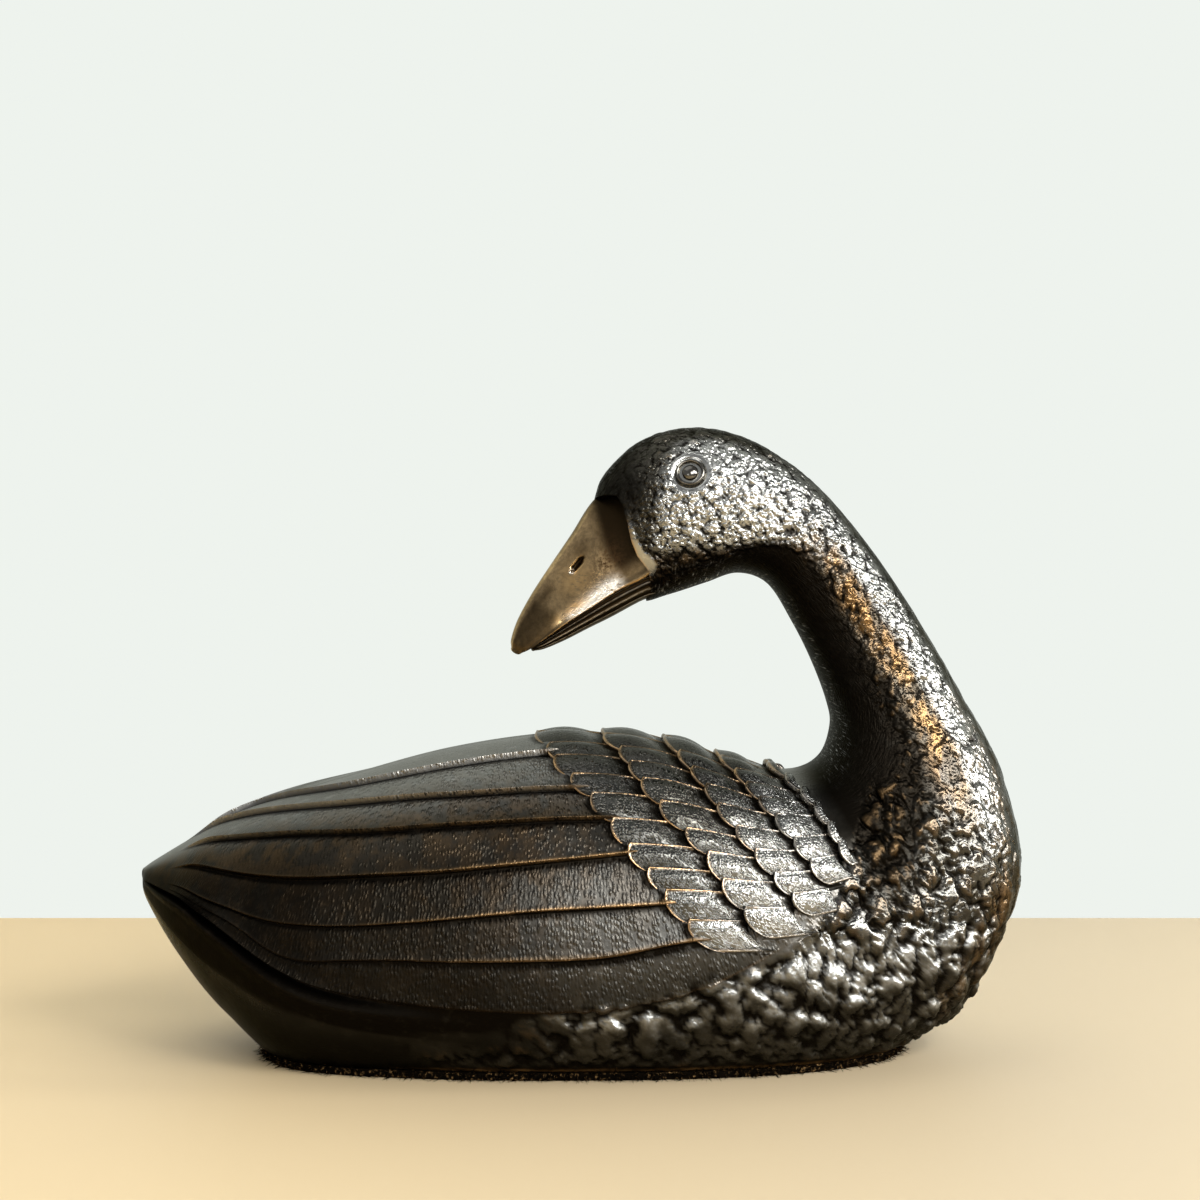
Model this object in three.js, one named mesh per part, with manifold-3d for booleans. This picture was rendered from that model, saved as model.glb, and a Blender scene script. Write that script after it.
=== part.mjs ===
// A cast bronze duck at rest, with its neck arched back and its head turned over its own back.
// Two hollow castings meet in a sleeve joint at the foot of the neck, a polished bill is let into
// the head, and a screwed plate under a felt pad closes the body.
// Millimetres. The origin is on the table under the middle of the figure, +X towards the breast
// and +Z up. The bird is the same on both sides of the XZ plane.
import * as THREE from "three";
import { mergeVertices } from "three/addons/utils/BufferGeometryUtils.js";
import Module from "manifold-3d";

const wasm = await Module();
wasm.setup();

// The whole figure
const LENGTH = 320; // from the tail to the breast
const WIDTH = 144; // across the body without its relief
const HEIGHT = 226; // from the table to the crown

// Castings
const WALL = 4; // bronze wall of both hollow castings
const FIT_GAP = 0.3; // gap round every piece that is let into another
const HOLLOW_TAIL = 1.7; // section where the hollow of the body starts
const HOLLOW_HEAD = 18.2; // section where the hollow of the head ends

// Sleeve joint between the body and the neck, held by four pins
const NECK_JOINT = 12.5; // section of the seam
const SLEEVE_LENGTH = 13;
const SLEEVE_WALL = 3.5;
const PIN_RADIUS = 2;
const PIN_SINK = 0.4; // how far a pin's end stays under the skin

// Base: felt pad, closing plate and its screws
const FELT_THICKNESS = 3;
const FELT_INSET = 0.3; // from the edge of the base
const PLATE_THICKNESS = 2.5;
const PLATE_LIP = 2.6; // casting left outside the plate's recess
const BOSS_RADIUS = 5;
const BOSS_HEIGHT = 12;
const BOSS_INSET = 9.5; // from the edge of the base to a screw
const SCREW_REACH = 76; // from the middle of the base to a screw
const SCREW_RADIUS = 2;
const SCREW_LENGTH = 11;
const SCREW_HEAD_RADIUS = 3.9;
const SCREW_HEAD_DEPTH = 1.9;
const SCREW_SLOT = 0.9;

// Eyes
const EYE_SECTION = 18.07;
const EYE_ANGLE = 112; // round the head from its throat, in degrees
const EYE_RADIUS = 3;
const EYE_DOME = 2;
const EYE_SHANK_RADIUS = 1.3;
const EYE_SHANK_LENGTH = 2.6;
const EYE_RECESS = 1;
const EYE_RING_RADIUS = 4.7;
const EYE_RING_WIRE = 0.8;

// Bill
const TENON_RADIUS = 5;
const TENON_LENGTH = 8;
const LOWER_TENON_RADIUS = 2;
const LOWER_TENON_LENGTH = 5;
const LOWER_BILL_SHARE = 0.86; // width of the lower bill as a share of the upper
const NOSTRIL_PLACE = 0.25; // from the bill's third section to its fourth
const NOSTRIL_LENGTH = 7;
const NOSTRIL_WIDTH = 2.4;
const NOSTRIL_DEPTH = 1.6;

// Relief of the plumage
const WING_LIFT = 1.2; // the folded wings stand proud of the flanks
const QUILL_LIFT = 1.5; // lower edge of a flight feather above the next one
const GROOVE_DEPTH = 2.6; // under the wing tips, over the tail
const LIP_LIFT = 1.2;
const SCALE_LIFT = 2.2; // free end of a mantle feather above the skin
const SCALE_ROOT_LIFT = 0.1;
const SCALE_TUCK = 1.3; // degrees that a mantle feather goes under the one above it
const SCALE_BULGE = 1.9; // how far the free end is rounded
const SCALE_SINK = 2; // how far a mantle feather is rooted in the skin

// The figure was drawn at this length, width and height. Every drawn point below is in
// millimetres of that drawing, and takes its place from the figure's own sizes.
const DRAWING = { length: 320, width: 144, height: 226 };

// The figure is drawn as a boat is, by sections. Each one is a flat rounded slice across the
// XZ plane: the point where it meets the back, the point where it meets the keel, half its width,
// and how far down it is widest. The slices stand upright at the tail, fan out round the foot of
// the neck, and run on up the neck and forward through the head, where the back line has become
// the throat and the keel line the crown.
const SECTIONS = [
  { back: [-159.9, 65.0], keel: [-159.4, 60.5], half: 4.0, widest: 0.5 },
  { back: [-154.0, 69.0], keel: [-156.5, 53.0], half: 16.0, widest: 0.5 },
  { back: [-137.5, 78.5], keel: [-143.5, 34.0], half: 35.0, widest: 0.5 },
  { back: [-116.5, 87.5], keel: [-126.0, 13.5], half: 49.5, widest: 0.48 },
  { back: [-86.0, 97.0], keel: [-99.0, -6.5], half: 64.0, widest: 0.47 },
  { back: [-47.5, 107.5], keel: [-49.5, -13.5], half: 71.0, widest: 0.5 },
  { back: [-7.5, 113.0], keel: [-4.0, -15.0], half: 72.0, widest: 0.52 },
  { back: [27.5, 111.5], keel: [43.5, -13.5], half: 70.0, widest: 0.52 },
  { back: [56.5, 103.5], keel: [84.5, -7.5], half: 65.0, widest: 0.51 },
  { back: [76.5, 101.0], keel: [117.5, 3.5], half: 57.5, widest: 0.5 },
  { back: [87.5, 106.0], keel: [141.5, 20.5], half: 50.0, widest: 0.5 },
  { back: [91.5, 117.0], keel: [159.5, 61.5], half: 40.0, widest: 0.5 },
  { back: [90.0, 126.5], keel: [153.5, 99.5], half: 31.5, widest: 0.5 },
  { back: [84.5, 141.0], keel: [138.5, 129.0], half: 26.0, widest: 0.5 },
  { back: [77.5, 155.0], keel: [122.5, 157.0], half: 23.0, widest: 0.5 },
  { back: [68.5, 169.0], keel: [105.0, 183.0], half: 22.5, widest: 0.5 },
  { back: [57.5, 173.0], keel: [85.5, 205.5], half: 24.0, widest: 0.5 },
  { back: [46.0, 169.5], keel: [63.0, 221.0], half: 25.5, widest: 0.5 },
  { back: [37.0, 166.5], keel: [41.5, 226.0], half: 25.0, widest: 0.5 },
  { back: [30.5, 164.5], keel: [22.5, 221.5], half: 22.0, widest: 0.5 },
  { back: [26.0, 163.0], keel: [9.0, 209.5], half: 18.0, widest: 0.5 },
  { back: [23.5, 162.5], keel: [4.5, 198.5], half: 15.0, widest: 0.5 },
];
const LAST_SECTION = SECTIONS.length - 1;
const ROUNDNESS = 2.2; // 2 is an ellipse, and more is squarer

// Lower edge of each flight feather, from the back down, as [section, degrees from the back].
const QUILL_EDGES = [
  [[3, 2], [3.9, 17], [4.5, 22], [6, 23], [7, 22]],
  [[2.6, 14], [3.6, 28], [4.4, 35], [5.4, 41], [7, 40]],
  [[1.8, 32], [3, 42], [3.8, 46], [4.5, 51], [7, 53]],
  [[2.1, 56], [3.1, 65], [4.5, 67.5], [6, 66], [7, 63]],
  [[2.1, 72], [3.3, 80], [4.3, 83], [5.6, 80], [7, 77]],
  [[2.1, 79], [3.3, 88], [3.9, 93], [5, 92], [7, 87]],
  [
    [2.1, 82], [3.3, 93], [3.9, 99], [5, 104], [6.3, 106], [7.1, 101], [7.7, 92], [8.6, 79], [9.4, 70],
  ],
];
const WING_EDGE = QUILL_EDGES.at(-1);

// Rows of mantle feathers, from the tail forward. Each point is the corner where two feathers'
// free ends meet, as [section, degrees from the back], and the last one closes the row.
const SCALE_ROWS = [
  [
    [5.8, 0], [5.92, 18], [5.98, 27], [6.13, 37], [6.3, 45], [6.47, 54], [6.6, 62], [6.75, 69], [6.88, 75],
    [7.05, 83], [7.32, 90],
  ],
  [[6.45, 9], [6.6, 21], [6.68, 30], [6.78, 38], [6.93, 47], [7.15, 56], [7.33, 63], [7.43, 71], [7.63, 81]],
  [[7.1, 0], [7.22, 18], [7.33, 28], [7.45, 36], [7.54, 44], [7.7, 52], [7.86, 60], [8.02, 68], [8.18, 76]],
  [[7.75, 9], [7.9, 20], [8, 29], [8.12, 37], [8.27, 45], [8.43, 55], [8.55, 65]],
  [[8.55, 0], [8.75, 18], [8.92, 30], [9.03, 40], [9.1, 51], [9.12, 62]],
];
const SCALE_REACH = [0.8, 0.8, 0.8, 0.85, 0.55]; // length of each row's feathers, in sections

// Side view of the edge where the head's plumage ends and the bill begins, from the brow down.
const BROW_LINE = [
  [2.0, 199.5], [8.5, 200.8], [13.0, 200.4], [15.2, 197.0], [16.8, 191.0], [18.4, 184.5], [20.8, 178.5],
  [24.6, 173.4], [25.4, 169.0], [24.0, 162.0],
];

const BILL_ROOT = 5; // the point of that line where the bill's tenon enters the head

// The upper bill by sections, from inside the head to the tip: culmen, mouth line and half width.
const UPPER_BILL = [
  { ridge: [16.0, 209.0], mouth: [31.0, 178.5], half: 15.6 },
  { ridge: [4.6, 199.4], mouth: [24.0, 171.6], half: 14.8 },
  { ridge: [-3.5, 187.0], mouth: [14.0, 166.6], half: 13.6 },
  { ridge: [-11.5, 175.2], mouth: [4.9, 160.8], half: 12.2 },
  { ridge: [-18.0, 165.2], mouth: [-4.2, 155.0], half: 10.4 },
  { ridge: [-23.0, 156.0], mouth: [-12.4, 149.2], half: 8.2 },
  { ridge: [-25.4, 149.0], mouth: [-18.2, 145.2], half: 5.8 },
  { ridge: [-25.2, 145.0], mouth: [-22.0, 143.0], half: 2.6 },
];
// Half of a slice across the upper bill: [share of the depth, share of the half width].
const UPPER_BILL_SLICE = [
  [0, 0], [0.03, 0.2], [0.12, 0.38], [0.3, 0.54], [0.55, 0.71], [0.8, 0.88], [0.96, 1], [1, 0.96],
  [0.95, 0.6], [0.93, 0],
];
// The lower bill in the same way, from its hinge end to the tip: upper and lower edge.
const LOWER_BILL = [
  { ridge: [30.0, 172.4], mouth: [28.0, 166.2], half: 14.6 },
  { ridge: [24.0, 170.6], mouth: [22.8, 164.6], half: 14.4 },
  { ridge: [14.0, 165.6], mouth: [11.6, 158.6], half: 13.4 },
  { ridge: [4.9, 159.8], mouth: [3.0, 154.0], half: 12.0 },
  { ridge: [-4.2, 154.0], mouth: [-5.3, 149.4], half: 10.0 },
  { ridge: [-12.4, 148.4], mouth: [-12.9, 145.8], half: 7.4 },
  { ridge: [-16.6, 145.7], mouth: [-16.9, 144.6], half: 5.0 },
];
const LOWER_BILL_SLICE = [
  [0.12, 0], [0.06, 0.7], [0, 0.96], [0.12, 1], [0.45, 0.95], [0.8, 0.72], [0.96, 0.4], [1, 0],
];

const bronze = (colour, roughness) =>
  new THREE.MeshStandardMaterial({ color: colour, roughness, metalness: 0.9 });
const materials = {
  patina: bronze(0x2b2620, 0.42),
  bill: bronze(0x6b4a2a, 0.24),
  eye: bronze(0x38332c, 0.3),
  plate: bronze(0x8a6a35, 0.45),
  screw: bronze(0x9a7b45, 0.4),
  felt: new THREE.MeshStandardMaterial({ color: 0x0d0b0a, roughness: 1, metalness: 0 }),
};

const radians = THREE.MathUtils.degToRad;
const lerp = THREE.MathUtils.lerp;
const smooth = (x, low, high) => THREE.MathUtils.smoothstep(x, low, high);

// Drawn points and half widths at the figure's own size.
const drawn = ([x, z]) => new THREE.Vector2((x * LENGTH) / DRAWING.length, (z * HEIGHT) / DRAWING.height);
const inPlane = (point, y = 0) => new THREE.Vector3(point.x, y, point.y);
const wide = (half) => (half * WIDTH) / DRAWING.width;

// Value at x on the straight runs between [x, value] points, held flat past both ends.
function along(points, x) {
  if (x <= points[0][0]) return points[0][1];
  const next = points.findIndex((p) => p[0] > x);
  if (next < 0) return points.at(-1)[1];
  const [a, b] = [points[next - 1], points[next]];
  return lerp(a[1], b[1], (x - a[0]) / (b[0] - a[0]));
}

// One value on the smooth curve through the sections' own values (Catmull-Rom).
function through(pick, s) {
  const i = Math.min(Math.max(Math.floor(s), 0), LAST_SECTION - 1);
  const t = s - i;
  const [b, c] = [pick(SECTIONS[i]), pick(SECTIONS[i + 1])];
  const a = i > 0 ? pick(SECTIONS[i - 1]) : 2 * b - c;
  const d = i + 2 <= LAST_SECTION ? pick(SECTIONS[i + 2]) : 2 * c - b;
  const cubic = (3 * b - a - 3 * c + d) * t ** 3;
  return 0.5 * (2 * b + (c - a) * t + (2 * a - 5 * b + 4 * c - d) * t * t + cubic);
}

// The slice at section s: where it is widest, its direction from back to keel, and its reach
// from there to the back, to the keel and to the sides.
function sliceAt(s) {
  const back = inPlane(drawn([0, 1].map((i) => through((q) => q.back[i], s))));
  const keel = inPlane(drawn([0, 1].map((i) => through((q) => q.keel[i], s))));
  const depth = keel.distanceTo(back);
  const down = keel.clone().sub(back).divideScalar(depth);
  const up = depth * through((q) => q.widest, s);
  const half = wide(through((q) => q.half, s));
  return { middle: back.addScaledVector(down, up), down, up, low: depth - up, half };
}

// A point of the skin at section s, so many degrees round from the back line. Inset moves it into
// the metal and lift moves it out.
function skin(s, degrees, inset = 0, lift = 0) {
  const { middle, down, up, low, half } = sliceAt(s);
  const [c, n] = [Math.cos(radians(degrees)), Math.sin(radians(degrees))];
  const squared = (x) => Math.sign(x) * Math.abs(x) ** (2 / ROUNDNESS);
  const reach = (c > 0 ? up : low) - inset;
  const p = middle.clone().addScaledVector(down, -squared(c) * reach);
  p.y -= squared(n) * (half - inset);
  return lift ? p.addScaledVector(outward(s, degrees), lift) : p;
}

// Unit normal of the skin.
function outward(s, degrees) {
  const step = 0.02;
  const [before, after] = [Math.max(s - step, 0), Math.min(s + step, LAST_SECTION)];
  const lengthwise = skin(after, degrees).sub(skin(before, degrees));
  const round = skin(s, degrees + 1).sub(skin(s, degrees - 1));
  return round.cross(lengthwise).normalize();
}

// The section that lies a distance along the figure's middle from section s.
function sectionAt(s, distance) {
  const step = 0.01 * Math.sign(distance);
  let [at, left] = [s, Math.abs(distance)];
  while (left > 0) {
    left -= sliceAt(at).middle.distanceTo(sliceAt(at + step).middle);
    at += step;
  }
  return at;
}

// A closed body through rings of points, all with the same count, capped at both ends.
function loft(rings) {
  const count = rings[0].length;
  const points = rings.flat();
  const faces = [];
  const corner = (ring, i) => ring * count + (i % count);
  for (let r = 0; r + 1 < rings.length; r++)
    for (let i = 0; i < count; i++) {
      faces.push(corner(r, i), corner(r, i + 1), corner(r + 1, i + 1));
      faces.push(corner(r, i), corner(r + 1, i + 1), corner(r + 1, i));
    }
  for (const [ring, turned] of [[0, true], [rings.length - 1, false]]) {
    const centre = points.length;
    const sum = rings[ring].reduce((a, p) => a.add(p), new THREE.Vector3());
    points.push(sum.divideScalar(count));
    for (let i = 0; i < count; i++) {
      const edge = [corner(ring, i), corner(ring, i + 1)];
      faces.push(centre, ...(turned ? edge.reverse() : edge));
    }
  }
  const geometry = new THREE.BufferGeometry().setFromPoints(points);
  geometry.setIndex(faces);
  return geometry;
}

// A three.js geometry as a solid that can be cut and joined, turned the right way out.
function solid(geometry) {
  const bare = geometry.clone();
  bare.deleteAttribute("normal");
  bare.deleteAttribute("uv");
  const merged = mergeVertices(bare, 1e-4);
  const mesh = (order) =>
    new wasm.Manifold(
      new wasm.Mesh({
        numProp: 3,
        vertProperties: merged.attributes.position.array,
        triVerts: Uint32Array.from(order),
      }),
    );
  const faces = [...merged.index.array];
  const made = mesh(faces);
  return made.volume() > 0 ? made : mesh(faces.reverse());
}

// A solid as a three.js geometry.
function geometryOf(body) {
  const mesh = body.getMesh();
  const geometry = new THREE.BufferGeometry();
  geometry.setAttribute("position", new THREE.BufferAttribute(mesh.vertProperties, 3));
  geometry.setIndex(new THREE.BufferAttribute(mesh.triVerts, 1));
  return geometry;
}

// Evenly spread sections between two.
const evenly = (from, to, steps) => Array.from({ length: steps + 1 }, (_, i) => lerp(from, to, i / steps));

// A loft of the plain skin through some sections, inset evenly.
function plainBody(stops, inset, around) {
  return solid(loft(stops.map((s) => evenly(0, 360, around).slice(0, -1).map((a) => skin(s, a, inset)))));
}

// A cylinder, or a lathed profile, standing on a point and turned to a direction.
function standing(geometry, foot, direction) {
  const turn = new THREE.Quaternion().setFromUnitVectors(new THREE.Vector3(0, 1, 0), direction);
  return geometry.applyQuaternion(turn).translate(foot.x, foot.y, foot.z);
}
function rod(radius, length, foot, direction, sides = 16) {
  const upright = new THREE.CylinderGeometry(radius, radius, length, sides).translate(0, length / 2, 0);
  return standing(upright, foot, direction);
}
function turned(profile, foot, direction, sides = 16) {
  const points = profile.map(([r, h]) => new THREE.Vector2(r, h));
  return standing(new THREE.LatheGeometry(points, sides), foot, direction);
}

const up = new THREE.Vector3(0, 0, 1);

// Everything below a level, as a block larger than the figure.
function below(level) {
  const side = 500;
  return solid(new THREE.BoxGeometry(side, side, side).translate(0, 0, level - side / 2));
}

// A line of points in a plane moved sideways, to the left of its run.
function shifted(points, distance, closed) {
  const last = points.length - 1;
  return points.map((p, i) => {
    const before = closed ? points.at(i - 1) : points[Math.max(i - 1, 0)];
    const after = closed ? points[(i + 1) % points.length] : points[Math.min(i + 1, last)];
    const run = after.clone().sub(before).normalize();
    return new THREE.Vector2(p.x - run.y * distance, p.y + run.x * distance);
  });
}

// Outline of the flat base, where the skin meets a level, going once round the figure. Inset
// moves it inwards.
function baseOutline(inset) {
  const level = FELT_THICKNESS;
  const keelAbove = (s) => skin(s, 180).z - level;
  const halve = (f, a, b) => {
    for (let i = 0; i < 40; i++) {
      const mid = (a + b) / 2;
      if (f(a) * f(mid) > 0) a = mid;
      else b = mid;
    }
    return (a + b) / 2;
  };
  const [tail, breast] = [halve(keelAbove, 2.5, 5), halve(keelAbove, 7, 10)];
  const steps = 22;
  const side = [];
  for (let i = 0; i <= steps; i++) {
    const s = lerp(tail, breast, (1 - Math.cos((Math.PI * i) / steps)) / 2);
    const inner = i > 0 && i < steps;
    const p = skin(s, inner ? halve((a) => skin(s, a).z - level, 90, 180) : 180);
    side.push(new THREE.Vector2(p.x, inner ? p.y : 0));
  }
  const otherSide = side.slice(1, -1).reverse().map((p) => new THREE.Vector2(p.x, -p.y));
  return shifted([...side, ...otherSide], inset, true);
}

// A flat slab with the outline of the base.
function slab(inset, from, thickness) {
  const outline = new THREE.Shape(baseOutline(inset));
  return new THREE.ExtrudeGeometry(outline, { depth: thickness, bevelEnabled: false }).translate(0, 0, from);
}

// Half ring of the body as [degrees, lift]: each flight feather rises from its upper edge to its
// lower one, then comes the groove under the wing, the lip of the tail and the smooth flank.
function bodyRelief(s) {
  const wing = smooth(s, 1.6, 2.6) * (1 - smooth(s, 8.4, 9.6));
  const quills = wing * (1 - smooth(s, 6.4, 8));
  const tail = smooth(s, 0.7, 1.8) * (1 - smooth(s, 4.2, 5.6));
  const even = smooth(s, 9, 10.5); // past the wings the points spread evenly again
  const relief = [];
  const place = (degrees, spread, lift) => relief.push([lerp(degrees, spread, even), lift]);
  let upper = 0;
  QUILL_EDGES.forEach((edge, i) => {
    const lower = along(edge, s);
    const spread = (k) => (105 * (i + k)) / QUILL_EDGES.length;
    const step = Math.min(0.8, (lower - upper) / 4);
    const lift = (share) => WING_LIFT * wing + QUILL_LIFT * quills * share;
    place(i ? upper + step : 0, spread(0.15 * Math.sign(i)), lift(0.1));
    place(lower - step, spread(0.7), lift(1));
    upper = lower;
  });
  place(upper + 2, 108, -GROOVE_DEPTH * tail);
  place(upper + 6, 114, LIP_LIFT * tail);
  place(upper + 12, 122, 0.6 * LIP_LIFT * tail);
  for (const share of [0.35, 0.6, 0.8]) place(lerp(upper, 180, share), lerp(105, 180, share), 0);
  relief.push([180, 0]);
  return relief;
}

// The outside of the body up to a section of the neck.
function bodySkin(to) {
  const stops = [0, 0.3, 0.7, 1.1, 1.5];
  for (let s = 2; s < 9.9; s += 0.4) stops.push(s);
  for (let s = 10; s < to - 0.2; s += 0.4) stops.push(s);
  stops.push(to);
  const rings = stops.map((s) => {
    const half = bodyRelief(s);
    const other = half.slice(1, -1).reverse();
    return [
      ...half.map(([degrees, lift]) => skin(s, degrees, 0, lift)),
      ...other.map(([degrees, lift]) => skin(s, -degrees, 0, lift)),
    ];
  });
  return solid(loft(rings));
}

// One mantle feather between two corners of its row: its free end is rounded and proud, and its
// root runs forward into the skin. Mirrored sides use a negative turn.
function mantleFeather([s0, a0], [s1, a1], reach, turn) {
  const perSection = skin(s0, a0).distanceTo(skin(s0 + 1, a0));
  const rings = evenly(0, 1, 3).map((t) => {
    const corner = lerp(s0, s1, t);
    const free = corner - (SCALE_BULGE / perSection) * Math.sin(Math.PI * t ** 0.8);
    const degrees = turn * lerp(a0 - SCALE_TUCK, a1, t);
    return [
      skin(free, degrees, 0, SCALE_LIFT * lerp(1, 0.7, t)),
      skin(corner + reach, degrees, 0, SCALE_ROOT_LIFT),
      skin(corner + reach, degrees, SCALE_SINK),
      skin(free, degrees, SCALE_SINK),
    ];
  });
  return solid(loft(rings));
}

// All mantle feathers of both sides as one solid.
function mantle() {
  const feathers = [];
  SCALE_ROWS.forEach((row, r) => {
    for (let i = 0; i + 1 < row.length; i++)
      for (const turn of [1, -1]) feathers.push(mantleFeather(row[i], row[i + 1], SCALE_REACH[r], turn));
    const [section, degrees] = row[0];
    if (degrees > 0) feathers.push(mantleFeather([section, -degrees], row[0], SCALE_REACH[r], 1));
  });
  return wasm.Manifold.union(feathers);
}

// Where the closing plate's screws stand on the base.
function screwPlaces() {
  const line = baseOutline(BOSS_INSET).filter((p) => p.y < 0);
  const places = [];
  for (const x of [-SCREW_REACH, SCREW_REACH]) {
    const nearest = line.reduce((a, b) => (Math.abs(b.x - x) < Math.abs(a.x - x) ? b : a));
    for (const side of [1, -1]) places.push(new THREE.Vector2(nearest.x, nearest.y * side));
  }
  return places;
}

const plateTop = FELT_THICKNESS + PLATE_THICKNESS;
const screws = screwPlaces();
const footOf = (place, level) => new THREE.Vector3(place.x, place.y, level);

// The pins go through the middle of the sleeve, square to the skin.
const sleeveFoot = sectionAt(NECK_JOINT, -SLEEVE_LENGTH);
const sleeveStops = evenly(sleeveFoot, NECK_JOINT + 0.2, 3);
const pins = [0, 90, 180, 270].map((degrees) => {
  const s = (sleeveFoot + NECK_JOINT) / 2;
  return { degrees, outer: skin(s, degrees), direction: outward(s, degrees) };
});
const pinLength = WALL + FIT_GAP + SLEEVE_WALL;
const pinHoles = pins.map(({ outer, direction }) => {
  const inside = outer.clone().addScaledVector(direction, -pinLength - 3);
  return solid(rod(PIN_RADIUS + FIT_GAP, pinLength + 6, inside, direction));
});

function bodyCasting() {
  const end = sectionAt(NECK_JOINT, -FIT_GAP);
  const hollow = plainBody(evenly(HOLLOW_TAIL, end + 0.3, 15), WALL, 20);
  const socket = plainBody([sectionAt(sleeveFoot, -FIT_GAP), ...sleeveStops], WALL, 20);
  const outside = bodySkin(end).add(mantle());
  const bosses = screws.map((p) => solid(rod(BOSS_RADIUS, BOSS_HEIGHT, footOf(p, plateTop - 1), up)));
  const webs = screws.map((p) => {
    const width = BOSS_RADIUS * 2;
    const box = new THREE.BoxGeometry(width, BOSS_INSET * 2, BOSS_HEIGHT);
    box.translate(p.x, p.y + Math.sign(p.y) * BOSS_INSET, plateTop - 1 + BOSS_HEIGHT / 2);
    return solid(box);
  });
  const middleOfWall = plainBody(evenly(2.5, 10.5, 16), WALL / 2, 22);
  const lugs = wasm.Manifold.union([...bosses, ...webs]).intersect(middleOfWall);
  const bore = SCREW_RADIUS + FIT_GAP;
  const bores = screws.map((p) => solid(rod(bore, SCREW_LENGTH + 1, footOf(p, FELT_THICKNESS), up)));
  const recess = solid(slab(PLATE_LIP, FELT_THICKNESS - 1, PLATE_THICKNESS + 1));
  const cuts = wasm.Manifold.union([recess, below(FELT_THICKNESS), ...bores, ...pinHoles]);
  return outside.subtract(hollow.add(socket)).add(lugs).subtract(cuts);
}

// The pocket in front of the head that the bill fills, made smaller by a gap.
function billPocket(gap) {
  const edge = shifted(BROW_LINE.map(drawn), -gap, false);
  const [top, bottom] = [edge[0], edge.at(-1)];
  const clear = HEIGHT / 4; // well past the bill on every side
  const outside = [
    [bottom.x, bottom.y - clear], [top.x - clear, bottom.y - clear], [top.x - clear, top.y + clear],
    [top.x, top.y + clear],
  ];
  const shape = new THREE.Shape([...edge, ...outside.map(([x, z]) => new THREE.Vector2(x, z))]);
  const block = new THREE.ExtrudeGeometry(shape, { depth: WIDTH, bevelEnabled: false });
  return solid(block.rotateX(Math.PI / 2).translate(0, WIDTH / 2, 0));
}

// Half way down a section of the bill, in the XZ plane.
const middleOf = ({ ridge, mouth }) => inPlane(drawn(ridge).lerp(drawn(mouth), 0.5));
const runOf = (from, to) => to.clone().sub(from).normalize();
const billRoot = inPlane(drawn(BROW_LINE[BILL_ROOT]));
const billAxis = runOf(middleOf(UPPER_BILL[3]), billRoot);
const lowerRoot = middleOf(LOWER_BILL[1]);
const lowerAxis = runOf(middleOf(LOWER_BILL[2]), lowerRoot);
const peg = (radius, length, root, axis, gap) =>
  solid(rod(radius + gap, 2 * length + gap, root.clone().addScaledVector(axis, -length), axis));
const tenon = (gap) => peg(TENON_RADIUS, TENON_LENGTH, billRoot, billAxis, gap);
const lowerTenon = (gap) => peg(LOWER_TENON_RADIUS, LOWER_TENON_LENGTH, lowerRoot, lowerAxis, gap);

// Where an eye sits: its middle on the skin and the way it looks.
const eyes = { right: -1, left: 1 };
const eyeSeat = (side) => ({
  at: skin(EYE_SECTION, side * -EYE_ANGLE),
  look: outward(EYE_SECTION, side * -EYE_ANGLE),
});

function neckHeadCasting() {
  const outside = plainBody(evenly(NECK_JOINT, LAST_SECTION, 22), 0, 28);
  const sleeve = plainBody(sleeveStops, WALL + FIT_GAP, 20);
  const boreStops = [sleeveFoot - 0.3, ...sleeveStops, NECK_JOINT + 0.3];
  const sleeveBore = plainBody(boreStops, WALL + FIT_GAP + SLEEVE_WALL, 20);
  const hollow = plainBody(evenly(NECK_JOINT + 0.15, HOLLOW_HEAD, 12), WALL + 1, 16);
  const eyeSeats = Object.values(eyes).flatMap((side) => {
    const { at, look } = eyeSeat(side);
    const recess = EYE_RING_RADIUS + EYE_RING_WIRE + FIT_GAP;
    const floor = at.clone().addScaledVector(look, -EYE_RECESS);
    const bore = at.clone().addScaledVector(look, -EYE_RECESS - EYE_SHANK_LENGTH - FIT_GAP);
    return [
      solid(rod(recess, EYE_RECESS + 3, floor, look, 24)),
      solid(rod(EYE_SHANK_RADIUS + FIT_GAP, EYE_SHANK_LENGTH + 1, bore, look)),
    ];
  });
  const billSeat = [billPocket(0), tenon(FIT_GAP), lowerTenon(FIT_GAP)];
  const cuts = [sleeveBore, hollow, ...billSeat, ...pinHoles, ...eyeSeats];
  return outside.add(sleeve).subtract(wasm.Manifold.union(cuts));
}

// A point on a slice of the bill, by its shares of the depth and of the half width.
function billPoint({ ridge, mouth, half }, depth, width) {
  return inPlane(drawn(ridge).lerp(drawn(mouth), depth), width * wide(half));
}

// A loft through bill sections, with the half slice mirrored to both sides.
function billLoft(sections, slice, widthShare) {
  const other = slice.slice(1, -1).reverse();
  const rings = sections.map((section) => [
    ...slice.map(([depth, width]) => billPoint(section, depth, -width * widthShare)),
    ...other.map(([depth, width]) => billPoint(section, depth, width * widthShare)),
  ]);
  return solid(loft(rings));
}

// A nostril: a shallow slot in the side of the upper bill.
function nostril(side) {
  const slot = new THREE.SphereGeometry(1, 16, 10);
  slot.scale(NOSTRIL_LENGTH / 2, NOSTRIL_DEPTH, NOSTRIL_WIDTH / 2);
  slot.rotateY(-Math.atan2(billAxis.z, billAxis.x));
  const [behind, ahead] = [UPPER_BILL[2], UPPER_BILL[3]].map((q) => billPoint(q, ...UPPER_BILL_SLICE[3]));
  const middle = behind.lerp(ahead, NOSTRIL_PLACE);
  return solid(slot.translate(middle.x, side * middle.y, middle.z));
}

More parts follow.
